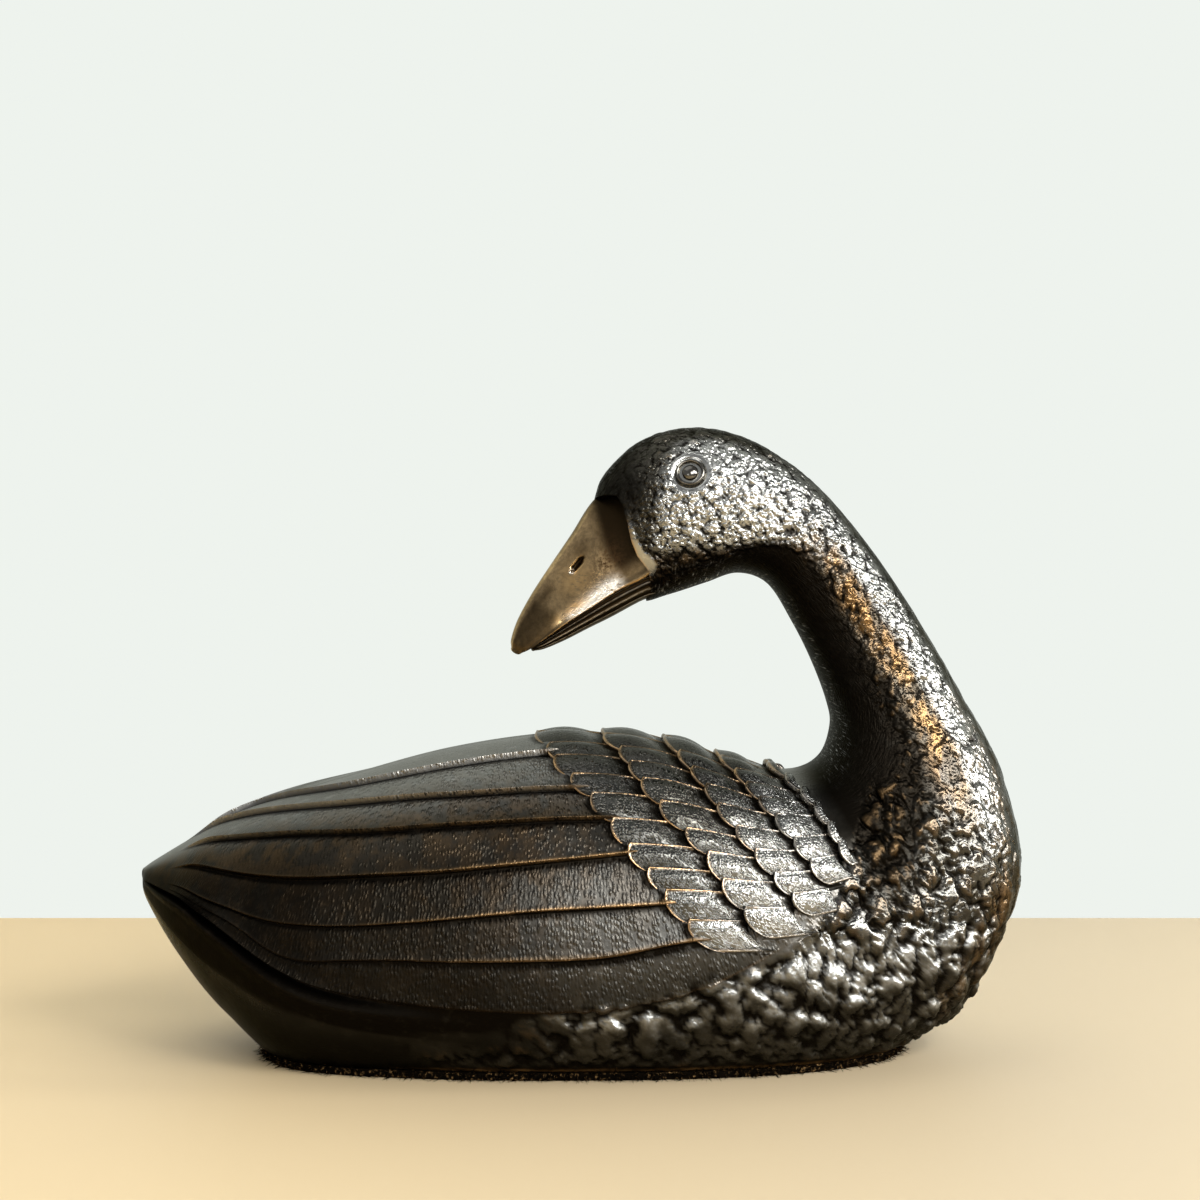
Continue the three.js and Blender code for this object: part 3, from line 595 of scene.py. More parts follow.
@dataclass(frozen=True)
class BronzeFinish:
    """Patinated bronze under wax, worn to metal where hands and cloths reach it, with painted
    highlights, painted warm reflections and painted shade in its colour.
    """

    name: str
    shade_black: tuple = (0.006, 0.0048, 0.0034, 1.0)
    patina: tuple = (0.026, 0.025, 0.021, 1.0)
    body: tuple = (0.066, 0.061, 0.049, 1.0)
    pale: tuple = (0.54, 0.54, 0.51, 1.0)
    warm_tone_and_reflection: tuple = (0.215, 0.125, 0.05, 1.0)
    worn: tuple = (0.52, 0.32, 0.145, 1.0)
    satin: float = 0.46
    shiny: float = 0.2
    dashes: float = 0.42
    stipple: float = 0.42
    strokes: float = 0.5
    pits: float = 0.1
    hair: float = 0.7
    edge_tint: tuple = (0.55, 0.55, 0.52, 1.0)

    def material(self, grain: bpy.types.NodeTree, wear: bpy.types.NodeTree) -> bpy.types.Material:
        """Builds the material.

        Args:
            grain: the tool marks group.
            wear: the rubbed edges group.

        Returns:
            The material.
        """
        made, w, shader = new_material(self.name)
        place = w.place()
        flow = w.add("ShaderNodeUVMap", {"uv_map": "UVMap"}).outputs["UV"]
        marks = w.add("ShaderNodeGroup", {"node_tree": grain}, Flow=flow, Place=place, Pits=self.pits)
        depths = {"Dashes": self.dashes, "Stipple": self.stipple, "Strokes": self.strokes}
        w.fill(marks, {key: w.times(w.carried(key.lower()), depth) for key, depth in depths.items()})
        w.fill(marks, {"Hair Mask": w.carried("hair_highlights")})
        rubbed = w.add("ShaderNodeGroup", {"node_tree": wear}, Place=place, Worn=w.carried("worn"))
        tone, painted_shade = rubbed.outputs["Tone"], w.carried("painted_shade")
        fleck = marks.outputs["Fleck"]
        colour = w.mix(w.ramp(tone, 0.36, 0.64), self.patina, self.body)
        # Painted highlights: a pale colour mixed in where the skin's pale mask says the lamps are
        # mirrored
        lit = w.times(w.carried("pale"), w.ramp(fleck, 0.0, 1.0, 0.7, 1.0))
        colour = w.mix(lit, colour, self.pale)
        # Warm tone: partly a painted warm reflection beside the neck's highlights, partly the wing's
        # own warm bronze
        patches = w.ramp(w.noise(w.scaled(place, (150.0, 150.0, 80.0)), 1.0, 4.0, 0.6), 0.4, 0.58)
        warm = w.times(w.carried("warm_tone_and_reflection"), w.plus(0.15, w.times(patches, 0.85)))
        colour = w.mix(w.times(warm, w.ramp(fleck, 0.0, 1.0, 0.75, 1.0)), colour, self.warm_tone_and_reflection)
        # Painted shade: near black mixed in wherever the skin's shade mask says shade falls
        shade_mix = w.times(painted_shade, w.ramp(fleck, 0.0, 1.0, 1.0, 0.9))
        colour = w.mix(shade_mix, colour, self.shade_black)
        # Painted highlights along the fine hair lines
        colour = w.mix(w.times(marks.outputs["Hairs"], self.hair, clamp=True), colour, self.pale)
        colour = w.mix(rubbed.outputs["Mask"], colour, self.worn)
        shine = w.times(w.carried("gloss"), w.ramp(painted_shade, 0.0, 1.0, 1.0, 0.4))
        rough = w.plus(w.ramp(shine, 0.0, 1.0, self.satin, self.shiny), w.times(fleck, 0.08))
        w.fill(shader, {"Base Color": colour, "Roughness": rough, "Metallic": 1.0})
        w.fill(shader, {"Specular Tint": self.edge_tint, "Normal": w.bump(marks.outputs["Height"])})
        return made


@dataclass(frozen=True)
class PolishedFinish:
    """Rubbed golden bronze with fine scratches; its masks paint shade, dark and golden reflections and
    a highlight into its colour.
    """

    name: str
    bright: tuple = (0.62, 0.43, 0.215, 1.0)
    dark: tuple = (0.02, 0.013, 0.006, 1.0)
    blush: tuple = (0.06, 0.032, 0.014, 1.0)
    pale: tuple = (0.95, 0.92, 0.84, 1.0)
    tan: tuple = (0.80, 0.50, 0.20, 1.0)
    roughness: float = 0.1
    scratches: float = 0.06
    rub_depth: float = 0.8
    grit_depth: float = 0.2
    edge_tint: tuple = (0.7, 0.66, 0.58, 1.0)

    def material(self, wear: bpy.types.NodeTree) -> bpy.types.Material:
        """Builds the material.

        Args:
            wear: the rubbed edges group.

        Returns:
            The material.
        """
        made, w, shader = new_material(self.name)
        place = w.place()
        painted_shade, raw, scratched_highlight = (w.carried(name) for name in ("painted_shade", "raw", "pale"))
        rubs = w.noise(w.scaled(place, (420.0, 420.0, 900.0)), 1.0, 4.0, 0.7)
        rubbed = w.add("ShaderNodeGroup", {"node_tree": wear}, Place=place, Worn=1.0, Break=0.6)
        mottle = w.ramp(w.noise(place, 520.0, 5.0, 0.72), 0.36, 0.62, 0.62, 1.0)
        tone = w.times(w.ramp(rubbed.outputs["Tone"], 0.3, 0.66, 0.45, 1.0), mottle)
        # Painted shade and dark reflections: the dark colour where the shade mask is high
        keep = w.times(w.math("SUBTRACT", 1.0, painted_shade, clamp=True), tone)
        colour = w.mix(keep, self.dark, self.bright)
        # A painted highlight on a scratched patch and painted golden reflections, broken by rubs
        for amount, paint in ((scratched_highlight, self.pale), (w.carried("tan"), self.tan)):
            colour = w.mix(w.times(amount, w.ramp(rubs, 0.34, 0.5), clamp=True), colour, paint)
        grit = w.noise(place, 850.0, 4.0, 0.75)
        colour = w.mix(w.times(raw, w.ramp(grit, 0.4, 0.6, 0.1, 1.0)), colour, self.blush)
        fine = w.noise(w.scaled(place, (160.0, 1400.0, 520.0)), 1.0, 3.0)
        rough = w.plus(self.roughness, w.times(painted_shade, 0.3))
        rough = w.plus(rough, w.times(w.noise(place, 120.0, 4.0), 0.1))
        rough = w.plus(rough, w.times(scratched_highlight, 0.1))
        rough = w.plus(rough, w.times(raw, 0.2))
        height = w.times(fine, self.scratches)
        height = w.plus(height, w.times(w.times(rubs, scratched_highlight), self.rub_depth))
        height = w.plus(height, w.times(w.times(grit, raw), self.grit_depth))
        w.fill(shader, {"Base Color": colour, "Roughness": rough, "Metallic": 1.0})
        w.fill(shader, {"Specular Tint": self.edge_tint, "Normal": w.bump(height)})
        return made


@dataclass(frozen=True)
class FeltFinish:
    """Dense black wool felt."""

    name: str
    colour: tuple = (0.003, 0.0022, 0.0014, 1.0)
    fibre: tuple = (0.2, 0.12, 0.05, 1.0)

    def material(self) -> bpy.types.Material:
        """Builds the material."""
        made, w, shader = new_material(self.name)
        wool = w.noise(w.place(), 700.0, 4.0, 0.7)
        colour = w.mix(w.ramp(wool, 0.56, 0.68), self.colour, self.fibre)
        w.fill(shader, {"Base Color": colour, "Roughness": 1.0, "Specular IOR Level": 0.0})
        w.fill(shader, {"Normal": w.bump(wool, 0.5 * MM, 0.8)})
        return made


# Castings


def relief_nodes(material: bpy.types.Material) -> bpy.types.NodeTree:
    """Geometry Nodes group that hammers folds and lumps into a skin, by the masks that it carries.

    Args:
        material: the finish that the skin is given.

    Returns:
        The group.
    """
    sizes = {
        "Lump Size": 7.0, "Lump Height": 2.7, "Pebble Size": 5.2, "Pebble Height": 1.1,
        "Hammer Size": 3.1, "Hammer Height": 0.8, "Wander": 0.8,
    }
    inputs = [("Geometry", GEOMETRY, None)]
    inputs += [(name, NUMBER, size) for name, size in sizes.items()]
    inputs += [("Grain", VECTOR, (1.0, 1.0, 0.78)), ("Seed", VECTOR, (0.37, 1.3, 0.91))]
    outputs = [("Geometry", GEOMETRY)]
    group, w, source, result = new_group("hammered relief", "GeometryNodeTree", inputs, outputs)
    get = source.outputs
    stretched = w.scaled(w.add("GeometryNodeInputPosition").outputs[0], get["Grain"])
    spot = w.scaled(stretched, (1 / MM, 1 / MM, 1 / MM))

    def mask(name: str) -> bpy.types.NodeSocket:
        """A value that the skin carries."""
        node = w.add("GeometryNodeInputNamedAttribute", {"data_type": "FLOAT"}, Name=name)
        return node.outputs["Attribute"]

    def domes(size: object, height: object, name: str, shift: float) -> bpy.types.NodeSocket:
        """Rounded lumps of one size, of uneven heights, with creases between them.

        Args:
            size: width of a lump in millimetres.
            height: its height in millimetres.
            name: the mask that says where the lumps are.
            shift: moves the pattern, so that two kinds of lumps differ.

        Returns:
            The height in millimetres.
        """
        place = w.grown(w.moved(spot, (shift, 2 * shift, 0.0)), w.math("DIVIDE", 1.0, size))
        place = w.moved(place, get["Seed"])
        drift = w.moved(w.noise_vector(place, 0.9), (-0.5, -0.5, -0.5))
        place = w.moved(place, w.grown(drift, get["Wander"]))
        cell = w.add("ShaderNodeTexVoronoi", {"feature": "SMOOTH_F1"}, Vector=place, Scale=1.0)
        w.fill(cell, {"Smoothness": 0.18, "Randomness": 0.95})
        away = cell.outputs["Distance"]
        dome = w.math("SUBTRACT", 1.0, w.times(w.times(away, away), 1.3), clamp=True)
        dome = w.math("POWER", dome, 0.8)
        dome = w.times(dome, w.ramp(w.parts(cell.outputs["Color"])["X"], 0.1, 0.9, 0.45, 1.15))
        fold = w.math("ABSOLUTE", w.math("SUBTRACT", w.noise(place, 1.1, 1.0), 0.5))
        dome = w.plus(dome, w.times(w.ramp(fold, 0.0, 0.07), 0.3))
        dent = w.noise(place, 2.4, 2.0)
        dome = w.plus(dome, w.times(w.math("SUBTRACT", dent, 0.5), 0.5))
        shape = w.times(w.math("SUBTRACT", dome, 0.8), height)
        return w.times(shape, mask(name))

    swell = w.math("SUBTRACT", w.noise(spot, 0.045, 2.0), 0.5)
    total = w.times(w.times(swell, get["Lump Height"]), mask("lumps"))
    kinds = (("Lump", "lumps", 0.0), ("Pebble", "pebbles", 31.0), ("Hammer", "hammer", 57.0))
    for kind, name, shift in kinds:
        total = w.plus(total, domes(get[f"{kind} Size"], get[f"{kind} Height"], name, shift))
    push = w.grown(w.add("GeometryNodeInputNormal").outputs[0], w.times(total, MM))
    moved = w.add("GeometryNodeSetPosition", Geometry=get["Geometry"], Offset=push)
    whole = w.add("GeometryNodeRealizeInstances", Geometry=moved.outputs[0])
    dressed = w.add("GeometryNodeSetMaterial", Geometry=whole.outputs[0], Material=material)
    w.feed(result.inputs[0], dressed.outputs[0])
    return group


def dress(piece: bpy.types.Object, node: str) -> bpy.types.Object:
    """Ties a piece to the body, and hides the CAD node that it replaces."""
    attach(piece, "root")
    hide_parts(node)
    return piece


@dataclass(frozen=True)
class EyeSeat:
    """Where the eyes sit and how big they are. Millimetres and degrees."""

    section: float = 18.07
    degrees: float = 112.0
    ball: float = 2.9
    lid: float = 4.45
    socket: float = 6.1
    depth: float = 0.9

    def place(self, side: int) -> tuple[Array, Array]:
        """Middle of an eye on the skin and the way it looks.

        Args:
            side: -1 for the bird's right, the viewer's side, and 1 for its left.

        Returns:
            The point and the unit vector.
        """
        degrees = -side * self.degrees
        return SWEEP.skin(self.section, degrees), SWEEP.outward(self.section, degrees)

    def carve(self, points: Array) -> tuple[Array, Array]:
        """Sinks a round socket into the head for each eye.

        Args:
            points: the skin's points.

        Returns:
            The points, and a mask of the sockets and their edges.
        """
        zone = np.zeros(points.shape[:2])
        for side in (-1, 1):
            at, look = self.place(side)
            away = points - at
            high = away @ look
            reach = np.linalg.norm(away - high[..., None] * look, axis=-1) / MM
            near = (np.abs(high) < 8 * MM) & (reach < 12)
            sink = np.where(near, falls(reach, self.socket - 0.8, self.socket + 0.1), 0)
            swell = np.where(near, 0.3 * bell(reach, self.socket + 1.1, 0.9), 0)
            push = (-self.depth * MM - high) * sink + swell * MM
            points = points + push[..., None] * look
            mask = np.where(near, falls(reach, self.socket + 0.8, self.socket + 2.2), 0)
            zone = np.maximum(zone, mask)
        return points, zone


EYE = EyeSeat()


@dataclass(frozen=True)
class Mantle:
    """Rows of overlapping feathers over the shoulders, each a curved tile with a raised rim.

    A corner is the section and the degrees where two feathers' free ends meet. A feather's reach
    is in sections, its tuck under the one above in degrees, and the other sizes in millimetres.
    """

    rows: tuple = (
        (
            (5.8, 0), (5.92, 18), (5.98, 27), (6.13, 37), (6.30, 45), (6.47, 54), (6.60, 62),
            (6.75, 69), (6.88, 75), (7.05, 83), (7.32, 90),
        ),
        (
            (6.45, 9), (6.60, 21), (6.68, 30), (6.78, 38), (6.93, 47), (7.15, 56), (7.33, 63),
            (7.43, 71), (7.60, 79), (7.84, 87),
        ),
        (
            (7.10, 0), (7.22, 18), (7.33, 28), (7.45, 36), (7.54, 44), (7.70, 52), (7.86, 60),
            (8.02, 68), (8.17, 75), (8.38, 82),
        ),
        (
            (7.75, 9), (7.90, 20), (8.00, 29), (8.12, 37), (8.27, 45), (8.43, 55), (8.55, 64),
            (8.72, 73),
        ),
        ((8.55, 0), (8.75, 18), (8.92, 30), (9.03, 40), (9.10, 51), (9.12, 60), (9.20, 69)),
    )
    section_run: float = 36.0
    reach: tuple = (0.85, 0.85, 0.85, 0.85, 0.46)
    across: tuple = (0, 0.018, 0.036, 0.056, 0.08, 0.11)
    across_last: tuple = (0.93, 0.96, 0.98, 1.0)
    across_count: int = 20
    along: tuple = (0, 0.01, 0.02, 0.032, 0.048, 0.07)
    along_count: int = 14
    lift: float = 2.2
    root_lift: float = 0.3
    slump: float = 0.45
    lowest_slump: float = 0.62
    swell: float = 1.6
    sink: float = 3.4
    sink_start: float = 0.5
    last_sink_start: float = 0.28
    tuck: float = 1.3
    bulge: float = 1.5
    rim_height: float = 0.34
    rim_width: float = 0.46
    rim_inset: float = 0.35
    chamfer: float = 0.4
    thickness: float = 1.0
    sunk: float = 1.8
    hatch: float = 2.2
    gloss: float = 0.85

    def free_end(self, row: int, degrees: Array) -> Array:
        """Section of the free end of a row's feathers at some angles."""
        corners = np.array(self.rows[row], float)
        first = np.clip(np.searchsorted(corners[:, 1], degrees, "right") - 1, 0, len(corners) - 2)
        s0, a0 = np.moveaxis(corners[first], -1, 0)
        s1, a1 = np.moveaxis(corners[first + 1], -1, 0)
        v = np.clip((degrees - a0) / (a1 - a0), 0, 1)
        return s0 + self.rounded(v, s1 - s0, self.section_run)

    def rounded(self, v: Array, step: Array, per_section: float) -> Array:
        """How far along the free end lies at some shares of a feather's width."""
        return step * (1 - np.sqrt(1 - v**2)) - self.bulge / per_section * np.sin(np.pi * v) ** 0.8

    def under(self, s: Array, degrees: Array) -> Array:
        """How deep places on the skin lie under the mantle, from 0 to 1."""
        start, end = np.array(self.rows[0], float), np.array([row[-1] for row in self.rows])
        first = np.interp(degrees, start[:, 1], start[:, 0])
        low = np.interp(s, end[:, 0], end[:, 1])
        wing = eased(WING_EDGE, s)
        low_edge = falls(degrees, low, np.maximum(wing, low + 4))
        return smooth(s - first, 0.0, 0.3) * low_edge * falls(s, 9.2, 9.7)

    def tile(
        self, row: int, first: tuple, second: tuple, turn: int
    ) -> tuple[Array, Array, Array, dict[str, Array]]:
        """One feather.

        Args:
            row: its row.
            first: its upper free corner.
            second: its lower free corner.
            turn: 1 for the viewer's side, -1 for the other.

        Returns:
            Points of the tile's grid from the free end to the root, the same points at its foot in
            the metal, its flow map in millimetres and its masks.
        """
        (s0, a0), (s1, a1) = first, second
        reach, last_row = self.reach[row], row + 1 == len(self.rows)
        v = np.concatenate([self.across, np.linspace(0.15, 0.9, self.across_count), self.across_last])
        u = np.concatenate([self.along, np.linspace(0.11, 1, self.along_count)])
        v, u = v[None], u[:, None]
        per_section = np.linalg.norm(SWEEP.skin(s0, a0) - SWEEP.skin(s0 + 1, a0)) / MM
        s = s0 + self.rounded(v, s1 - s0, per_section) + reach * u
        degrees = np.broadcast_to(a0 - self.tuck + (a1 - a0 + self.tuck) * v, s.shape)
        width = np.linalg.norm(SWEEP.skin(s0, a0 - self.tuck) - SWEEP.skin(s0, a1)) / MM
        from_end, from_top = u * reach * per_section, v * width
        lowest = second == self.rows[row][-1]
        slump = self.lowest_slump if lowest else self.slump
        height = self.lift * (1 - slump * v**2) * (1 - u) ** 0.8 + self.root_lift
        arch = np.sin(np.pi * v**0.85) * np.sin(np.pi * np.clip(u * 1.5, 0, 1))
        height = height + self.swell * arch
        fade = falls(u, 0.6, 0.95)
        if lowest or last_row:
            start = self.last_sink_start if last_row else self.sink_start
            height = height - self.sink * smooth(u, start, start + 0.45)
            fade = falls(u, start - 0.1, start + 0.12)
        inset, rim = self.rim_inset, self.rim_width
        bead = np.maximum(bell(from_end, inset, rim), bell(from_top, inset, rim) * fade)
        if lowest:
            bead = np.maximum(bead, bell(width - from_top, inset, rim) * fade)
        height = height + self.rim_height * bead
        edge = np.maximum(bell(from_end, 0.0, 0.14), bell(from_top, 0.0, 0.14))
        height = height - self.chamfer * edge
        top = SWEEP.lifted(s, turn * degrees, height)
        foot = SWEEP.lifted(s, turn * degrees, height - self.thickness - self.sunk)
        flows = self.hatch * from_end + 5 * s0, self.hatch * from_top + 3 * a0
        flow = np.stack(np.broadcast_arrays(*flows), -1)
        # Painted shade along each tile's lower edge, just inside its free end, and in the coves under
        # the next row's free ends
        shade = 0.8 * falls(width - from_top, 0.2, 1.6) + 0.3 * bell(from_end, 1.1, 0.4)
        shade = np.broadcast_to(shade, s.shape)
        if not last_row:
            span = self.rows[row + 1]
            covered = self.free_end(row + 1, np.clip(degrees, span[0][1], span[-1][1]))
            gap = (covered - s) * per_section
            shade = np.maximum(shade, falls(gap, 1.9, 3.9) * (degrees < span[-1][1] + 1))
        # Painted light: tiles lower and further round are painted paler, as if lit, and their rims get
        # painted highlights
        lit = 0.13 + 0.72 * smooth(s + 0.02 * degrees, 8.2, 9.5)
        plain = 1 - bead
        masks = {
            "worn": bead * (1.0 - lit),
            "dashes": -0.85 * plain,
            "painted_shade": shade * plain,
            "stipple": -0.1 * plain,
            "pale": lit * (1 - shade) * (0.6 + 0.4 * (1 - v)) * plain + (0.2 + 0.55 * lit) * bead,
        }
        return top, foot, flow, {key: np.broadcast_to(item, s.shape) for key, item in masks.items()}

    def build(self, material: bpy.types.Material) -> bpy.types.Object:
        """Builds every feather into one piece.

        Args:
            material: its finish.

        Returns:
            The piece.
        """
        jobs = []
        for number, row in enumerate(self.rows):
            for first, second in zip(row[:-1], row[1:]):
                jobs += [(number, first, second, turn) for turn in (1, -1)]
            section, degrees = row[0]
            if degrees > 0:
                jobs.append((number, (section, -degrees), row[0], 1))
        points, faces, uv = [], [], []
        # The tiles' sides and feet are painted in shade, with a little wear
        side = {"worn": 0.2, "dashes": 0.0, "painted_shade": 0.8, "stipple": 0.2, "pale": 0.0}
        masks = {key: [] for key in side}
        total = 0
        for job in jobs:
            top, bottom, flow, tile_masks = self.tile(*job)
            rows, columns = top.shape[:2]
            quads = grid_faces(rows, columns, False)
            numbers = np.arange(rows * columns).reshape(rows, columns)
            edge = [numbers[0], numbers[1:, -1], numbers[-1, -2::-1], numbers[-2:0:-1, 0]]
            edge = np.concatenate(edge)
            flat, foot = top.reshape(-1, 3), bottom.reshape(-1, 3)[edge]
            count = len(flat)
            skirt, centre = np.arange(len(edge)) + count, np.full(len(edge), count + len(edge))
            after, next_edge = np.roll(skirt, -1), np.roll(edge, -1)
            sides = np.stack([edge, skirt, after, next_edge], -1)
            fan = np.stack([skirt, centre, after], -1)
            if job[3] < 0:
                quads, sides, fan = quads[:, ::-1], sides[:, ::-1], fan[:, ::-1]
            flows = np.concatenate([flow.reshape(-1, 2), flow.reshape(-1, 2)[edge], [[0, 0]]])
            for part in (quads, sides, fan):
                faces += (part + total).tolist()
                uv.append(flows[part].reshape(-1, 2))
            points += [flat, foot, foot.mean(0)[None]]
            for key, kept in masks.items():
                kept += [tile_masks[key].ravel(), np.full(len(edge) + 1, side[key])]
            total += count + len(edge) + 1
        masks = {key: np.concatenate(kept) for key, kept in masks.items()}
        masks["gloss"] = np.full(total, self.gloss)
        points, uv = np.concatenate(points), np.concatenate(uv)
        piece = make_piece("mantle_feathers", points, faces, material, uv, values=masks)
        return dress(piece, "body_casting")


MANTLE = Mantle()


@dataclass
class Castings:
    """The body with its folded wings, and the neck with the head, as one chased skin.

    The wings end and the castings join at sections. The rest is in millimetres, or in degrees from
    the wing's edge for the stops of the lip, or counts rows and columns.
    """

    joint: float = 12.5
    wing_end: float = 8.0
    rows: tuple = (238, 242, 240)
    bands: tuple = (24, 15, 17, 18, 17, 11, 12)
    half_ring: int = 192
    rim_rows: int = 7
    wing_lift: float = 1.2
    quill_lift: float = 1.7
    groove_depth: float = 2.6
    lip_lift: float = 1.2
    felt: float = 3.0
    plate_room: float = 5.6
    lip_stops: tuple = (2.4, 6.6, 13.6)
    rim_lift: float = 0.75
    # Width of the rim of the head's plumage at angles from the throat.
    rim_widths: tuple = (
        (46, 1), (56, 4.2), (66, 3.8), (80, 2.6), (105, 1.6), (130, 0.9), (145, 0.5),
    )
    crest_wear: tuple = (0.12, 0.2, 0.3, 0.9, 0.9, 0.5, 0.08)

    def half(self, s: Array) -> dict[str, Array]:
        """Columns of one side of the bird.

        Args:
            s: the section of each row.

        Returns:
            For each row and column: degrees, lift in millimetres, and the masks of the dashes, the
            worn crests and the shade beside them.
        """
        s = s[:, None]
        wing, tail = window(s, 1.6, 2.6, 8.4, 9.6), window(s, 0.7, 1.8, 4.2, 5.6)
        wear = 0.06 + 0.94 * smooth(s, 4.3, 6.6)
        kept = {"degrees": [], "lift": [], "dashes": [], "worn": [], "shade": []}

        def keep(degrees: Array, *items: Array | float) -> None:
            """Keeps a band of columns."""
            for key, item in zip(kept, (degrees, *items), strict=True):
                kept[key].append(np.broadcast_to(item, degrees.shape))

        upper = np.zeros_like(s)
        border = eased(WING_EDGE, s)
        for i, (edge, count) in enumerate(zip(QUILL_EDGES, self.bands)):
            lower = np.maximum(eased(edge, s), upper + 1.5)
            start = upper + (0.4 if i else 0.0)
            even = np.linspace(0, 1, count + 1)[None]
            t = 0.25 * even + 0.375 * (1 - np.cos(np.pi * even))
            degrees = start + (lower - start) * t
            free = wing * (1 - MANTLE.under(s, degrees))
            quills = free * falls(s, 7.2, 8.3)
            shape = 0.55 * t + 0.45 * t**4 - 0.14 * bell(t, 0.07, 0.07) + 0.1 * bell(t, 1.0, 0.05)
            ends = 1 - smooth(degrees, border - 14, border) * smooth(s, 6.2, 7.4)
            keep(
                degrees,
                (self.wing_lift * free + quills * self.quill_lift * shape) * ends,
                wing * smooth(t, 0.0, 0.12),
                quills * bell(t, 1.0, 0.035) * self.crest_wear[i] * wear,
                quills * bell(t, 0.03, 0.07) * (0.9 if i else 0.0),
            )
            upper = lower
        # A groove, a lip and its slope run along the lower edge of the wing and the tail, with painted
        # shade deepest in the groove.
        groove, lip, end = self.lip_stops
        depth, crest = -self.groove_depth * tail, self.lip_lift * tail
        t = np.array([[0.3, 0.6, 1.0]])
        keep(upper + groove * t, depth * smooth(t, 0.1, 1.0), 0.0, 0.0, tail * t)
        t = np.linspace(0.2, 1, 5)[None]
        rise = depth + (crest - depth) * smooth(t, 0, 1)
        keep(upper + groove + (lip - groove) * t, rise, 0.0, 0.0, tail * (1 - t))
        t = np.linspace(1 / 6, 1, 6)[None]
        keep(upper + lip + (end - lip) * t, crest * falls(t, 0, 1), 0.0, 0.0, 0.3 * tail)
        left = self.half_ring + 1 - sum(part.shape[1] for part in kept["degrees"])
        t = np.linspace(0, 1, left + 1)[1:][None]
        start = upper + end
        keep(start + (180 - start) * t, 0.0, 0.0, 0.0, 0.0)
        made = {key: np.concatenate(parts, axis=1) for key, parts in kept.items()}
        # Past the wings the columns are spread evenly.
        even = smooth(s, 9.0, 10.5)
        spread = np.linspace(0, 180, self.half_ring + 1)[None]
        made["degrees"] = made["degrees"] * (1 - even) + spread * even
        return made

    def ring(self, s: Array) -> dict[str, Array]:
        """Columns of the whole bird: one side, then the other in mirror."""
        full = {}
        for key, item in self.half(s).items():
            other = item[:, -2:0:-1]
            full[key] = np.concatenate([item, 360 - other if key == "degrees" else other], axis=1)
        return full

    def snap_to_base(self, s: Array, degrees: Array) -> Array:
        """Moves the column nearest to the edge of the flat base onto it, in every row.

        Args:
            s: section of each row.
            degrees: angles by row and column, which are changed.

        Returns:
            The angles.
        """
        level = self.felt * MM
        for row in range(len(s)):
            z = SWEEP.skin(s[row], degrees[row])[:, 2]
            if z.min() >= level:
                continue
            first = np.flatnonzero((z[:-1] >= level) != (z[1:] >= level))
            below = z[first] < level
            low, high = degrees[row, first], degrees[row, first + 1]
            edge = last_kept(
                low, high, lambda at: (SWEEP.skin(s[row], at)[:, 2] < level) == below, 18
            )
            degrees[row, first + ((edge - low) / (high - low) > 0.5)] = edge
        return degrees

    def edge_sections(self, degrees: Array) -> Array:
        """Section at which each column of the head meets the edge of its plumage.

        Args:
            degrees: angle of each column.

        Returns:
            The sections.
        """
        line = np.array(BROW_LINE)
        order = np.argsort(line[2:, 1])

        def plumed(s: Array) -> Array:
            """Whether the skin at each column's section still lies behind or above the edge."""
            p = SWEEP.skin(s, degrees) / MM
            edge = np.interp(p[..., 2], line[2:, 1][order], line[2:, 0][order])
            top = np.interp(p[..., 0], line[:3, 0], line[:3, 1])
            return (p[..., 0] > edge) | (p[..., 2] > top)

        start, end = np.full(degrees.shape, 19.0), np.full(degrees.shape, SWEEP.last)
        return last_kept(start, end, plumed, 30)

    def flatten_base(self, base: Array, points: Array) -> Array:
        """Cuts the skin flat at the level of the felt, with room for the closing plate above it.

        Args:
            base: the smooth skin.
            points: the skin with its relief.

        Returns:
            The points with the base flat.
        """
        level = self.felt * MM
        under = base[..., 2] <= level + 1e-7
        deep = level - base[..., 2] > 0.9 * MM
        points = np.where(under[..., None], base, points)
        height = np.where(deep, self.plate_room * MM, level)
        points[..., 2] = np.where(under, height, np.maximum(points[..., 2], level))
        return points

    def lay_out(self) -> dict[str, Array]:
        """Lays out the whole skin, with its feathers, rims and sockets, before it is hammered.

        Returns:
            Points by row and column, and every mask that the skin carries.
        """
        tail, breast, head = self.rows
        stops = [
            SWEEP.evenly(0, self.wing_end, tail),
            SWEEP.evenly(self.wing_end, self.joint, breast)[1:],
            SWEEP.evenly(self.joint, SWEEP.last, head)[1:],
        ]
        stops = np.concatenate(stops)
        ring = self.ring(stops)
        degrees = self.snap_to_base(stops, ring["degrees"])
        ends = self.edge_sections(degrees[-1])
        late = np.clip((stops - 18.5) / 2.5, 0, 1)
        s = stops[:, None] + late[:, None] * (ends - SWEEP.last)[None]
        base, out = SWEEP.skin(s, degrees), SWEEP.outward(s, degrees)
        turn = np.abs((degrees + 180) % 360 - 180)
        # A smooth rim runs along the edge of the plumage on each side of the head.
        to_edge = np.linalg.norm(base - base[-1], axis=-1) / MM
        to_edge[s < 18.0] = 99.0
        rim_width = np.interp(turn[-1], *np.array(self.rim_widths).T)
        rim = falls(to_edge / rim_width[None], 0.85, 1.1) * smooth(turn, 44, 52)
        rim = rim * falls(turn, 82, 102)
        points = base + out * (ring["lift"] + self.rim_lift * rim)[..., None] * MM
        points, eye_zone = EYE.carve(points)
        points = self.flatten_base(base, points)
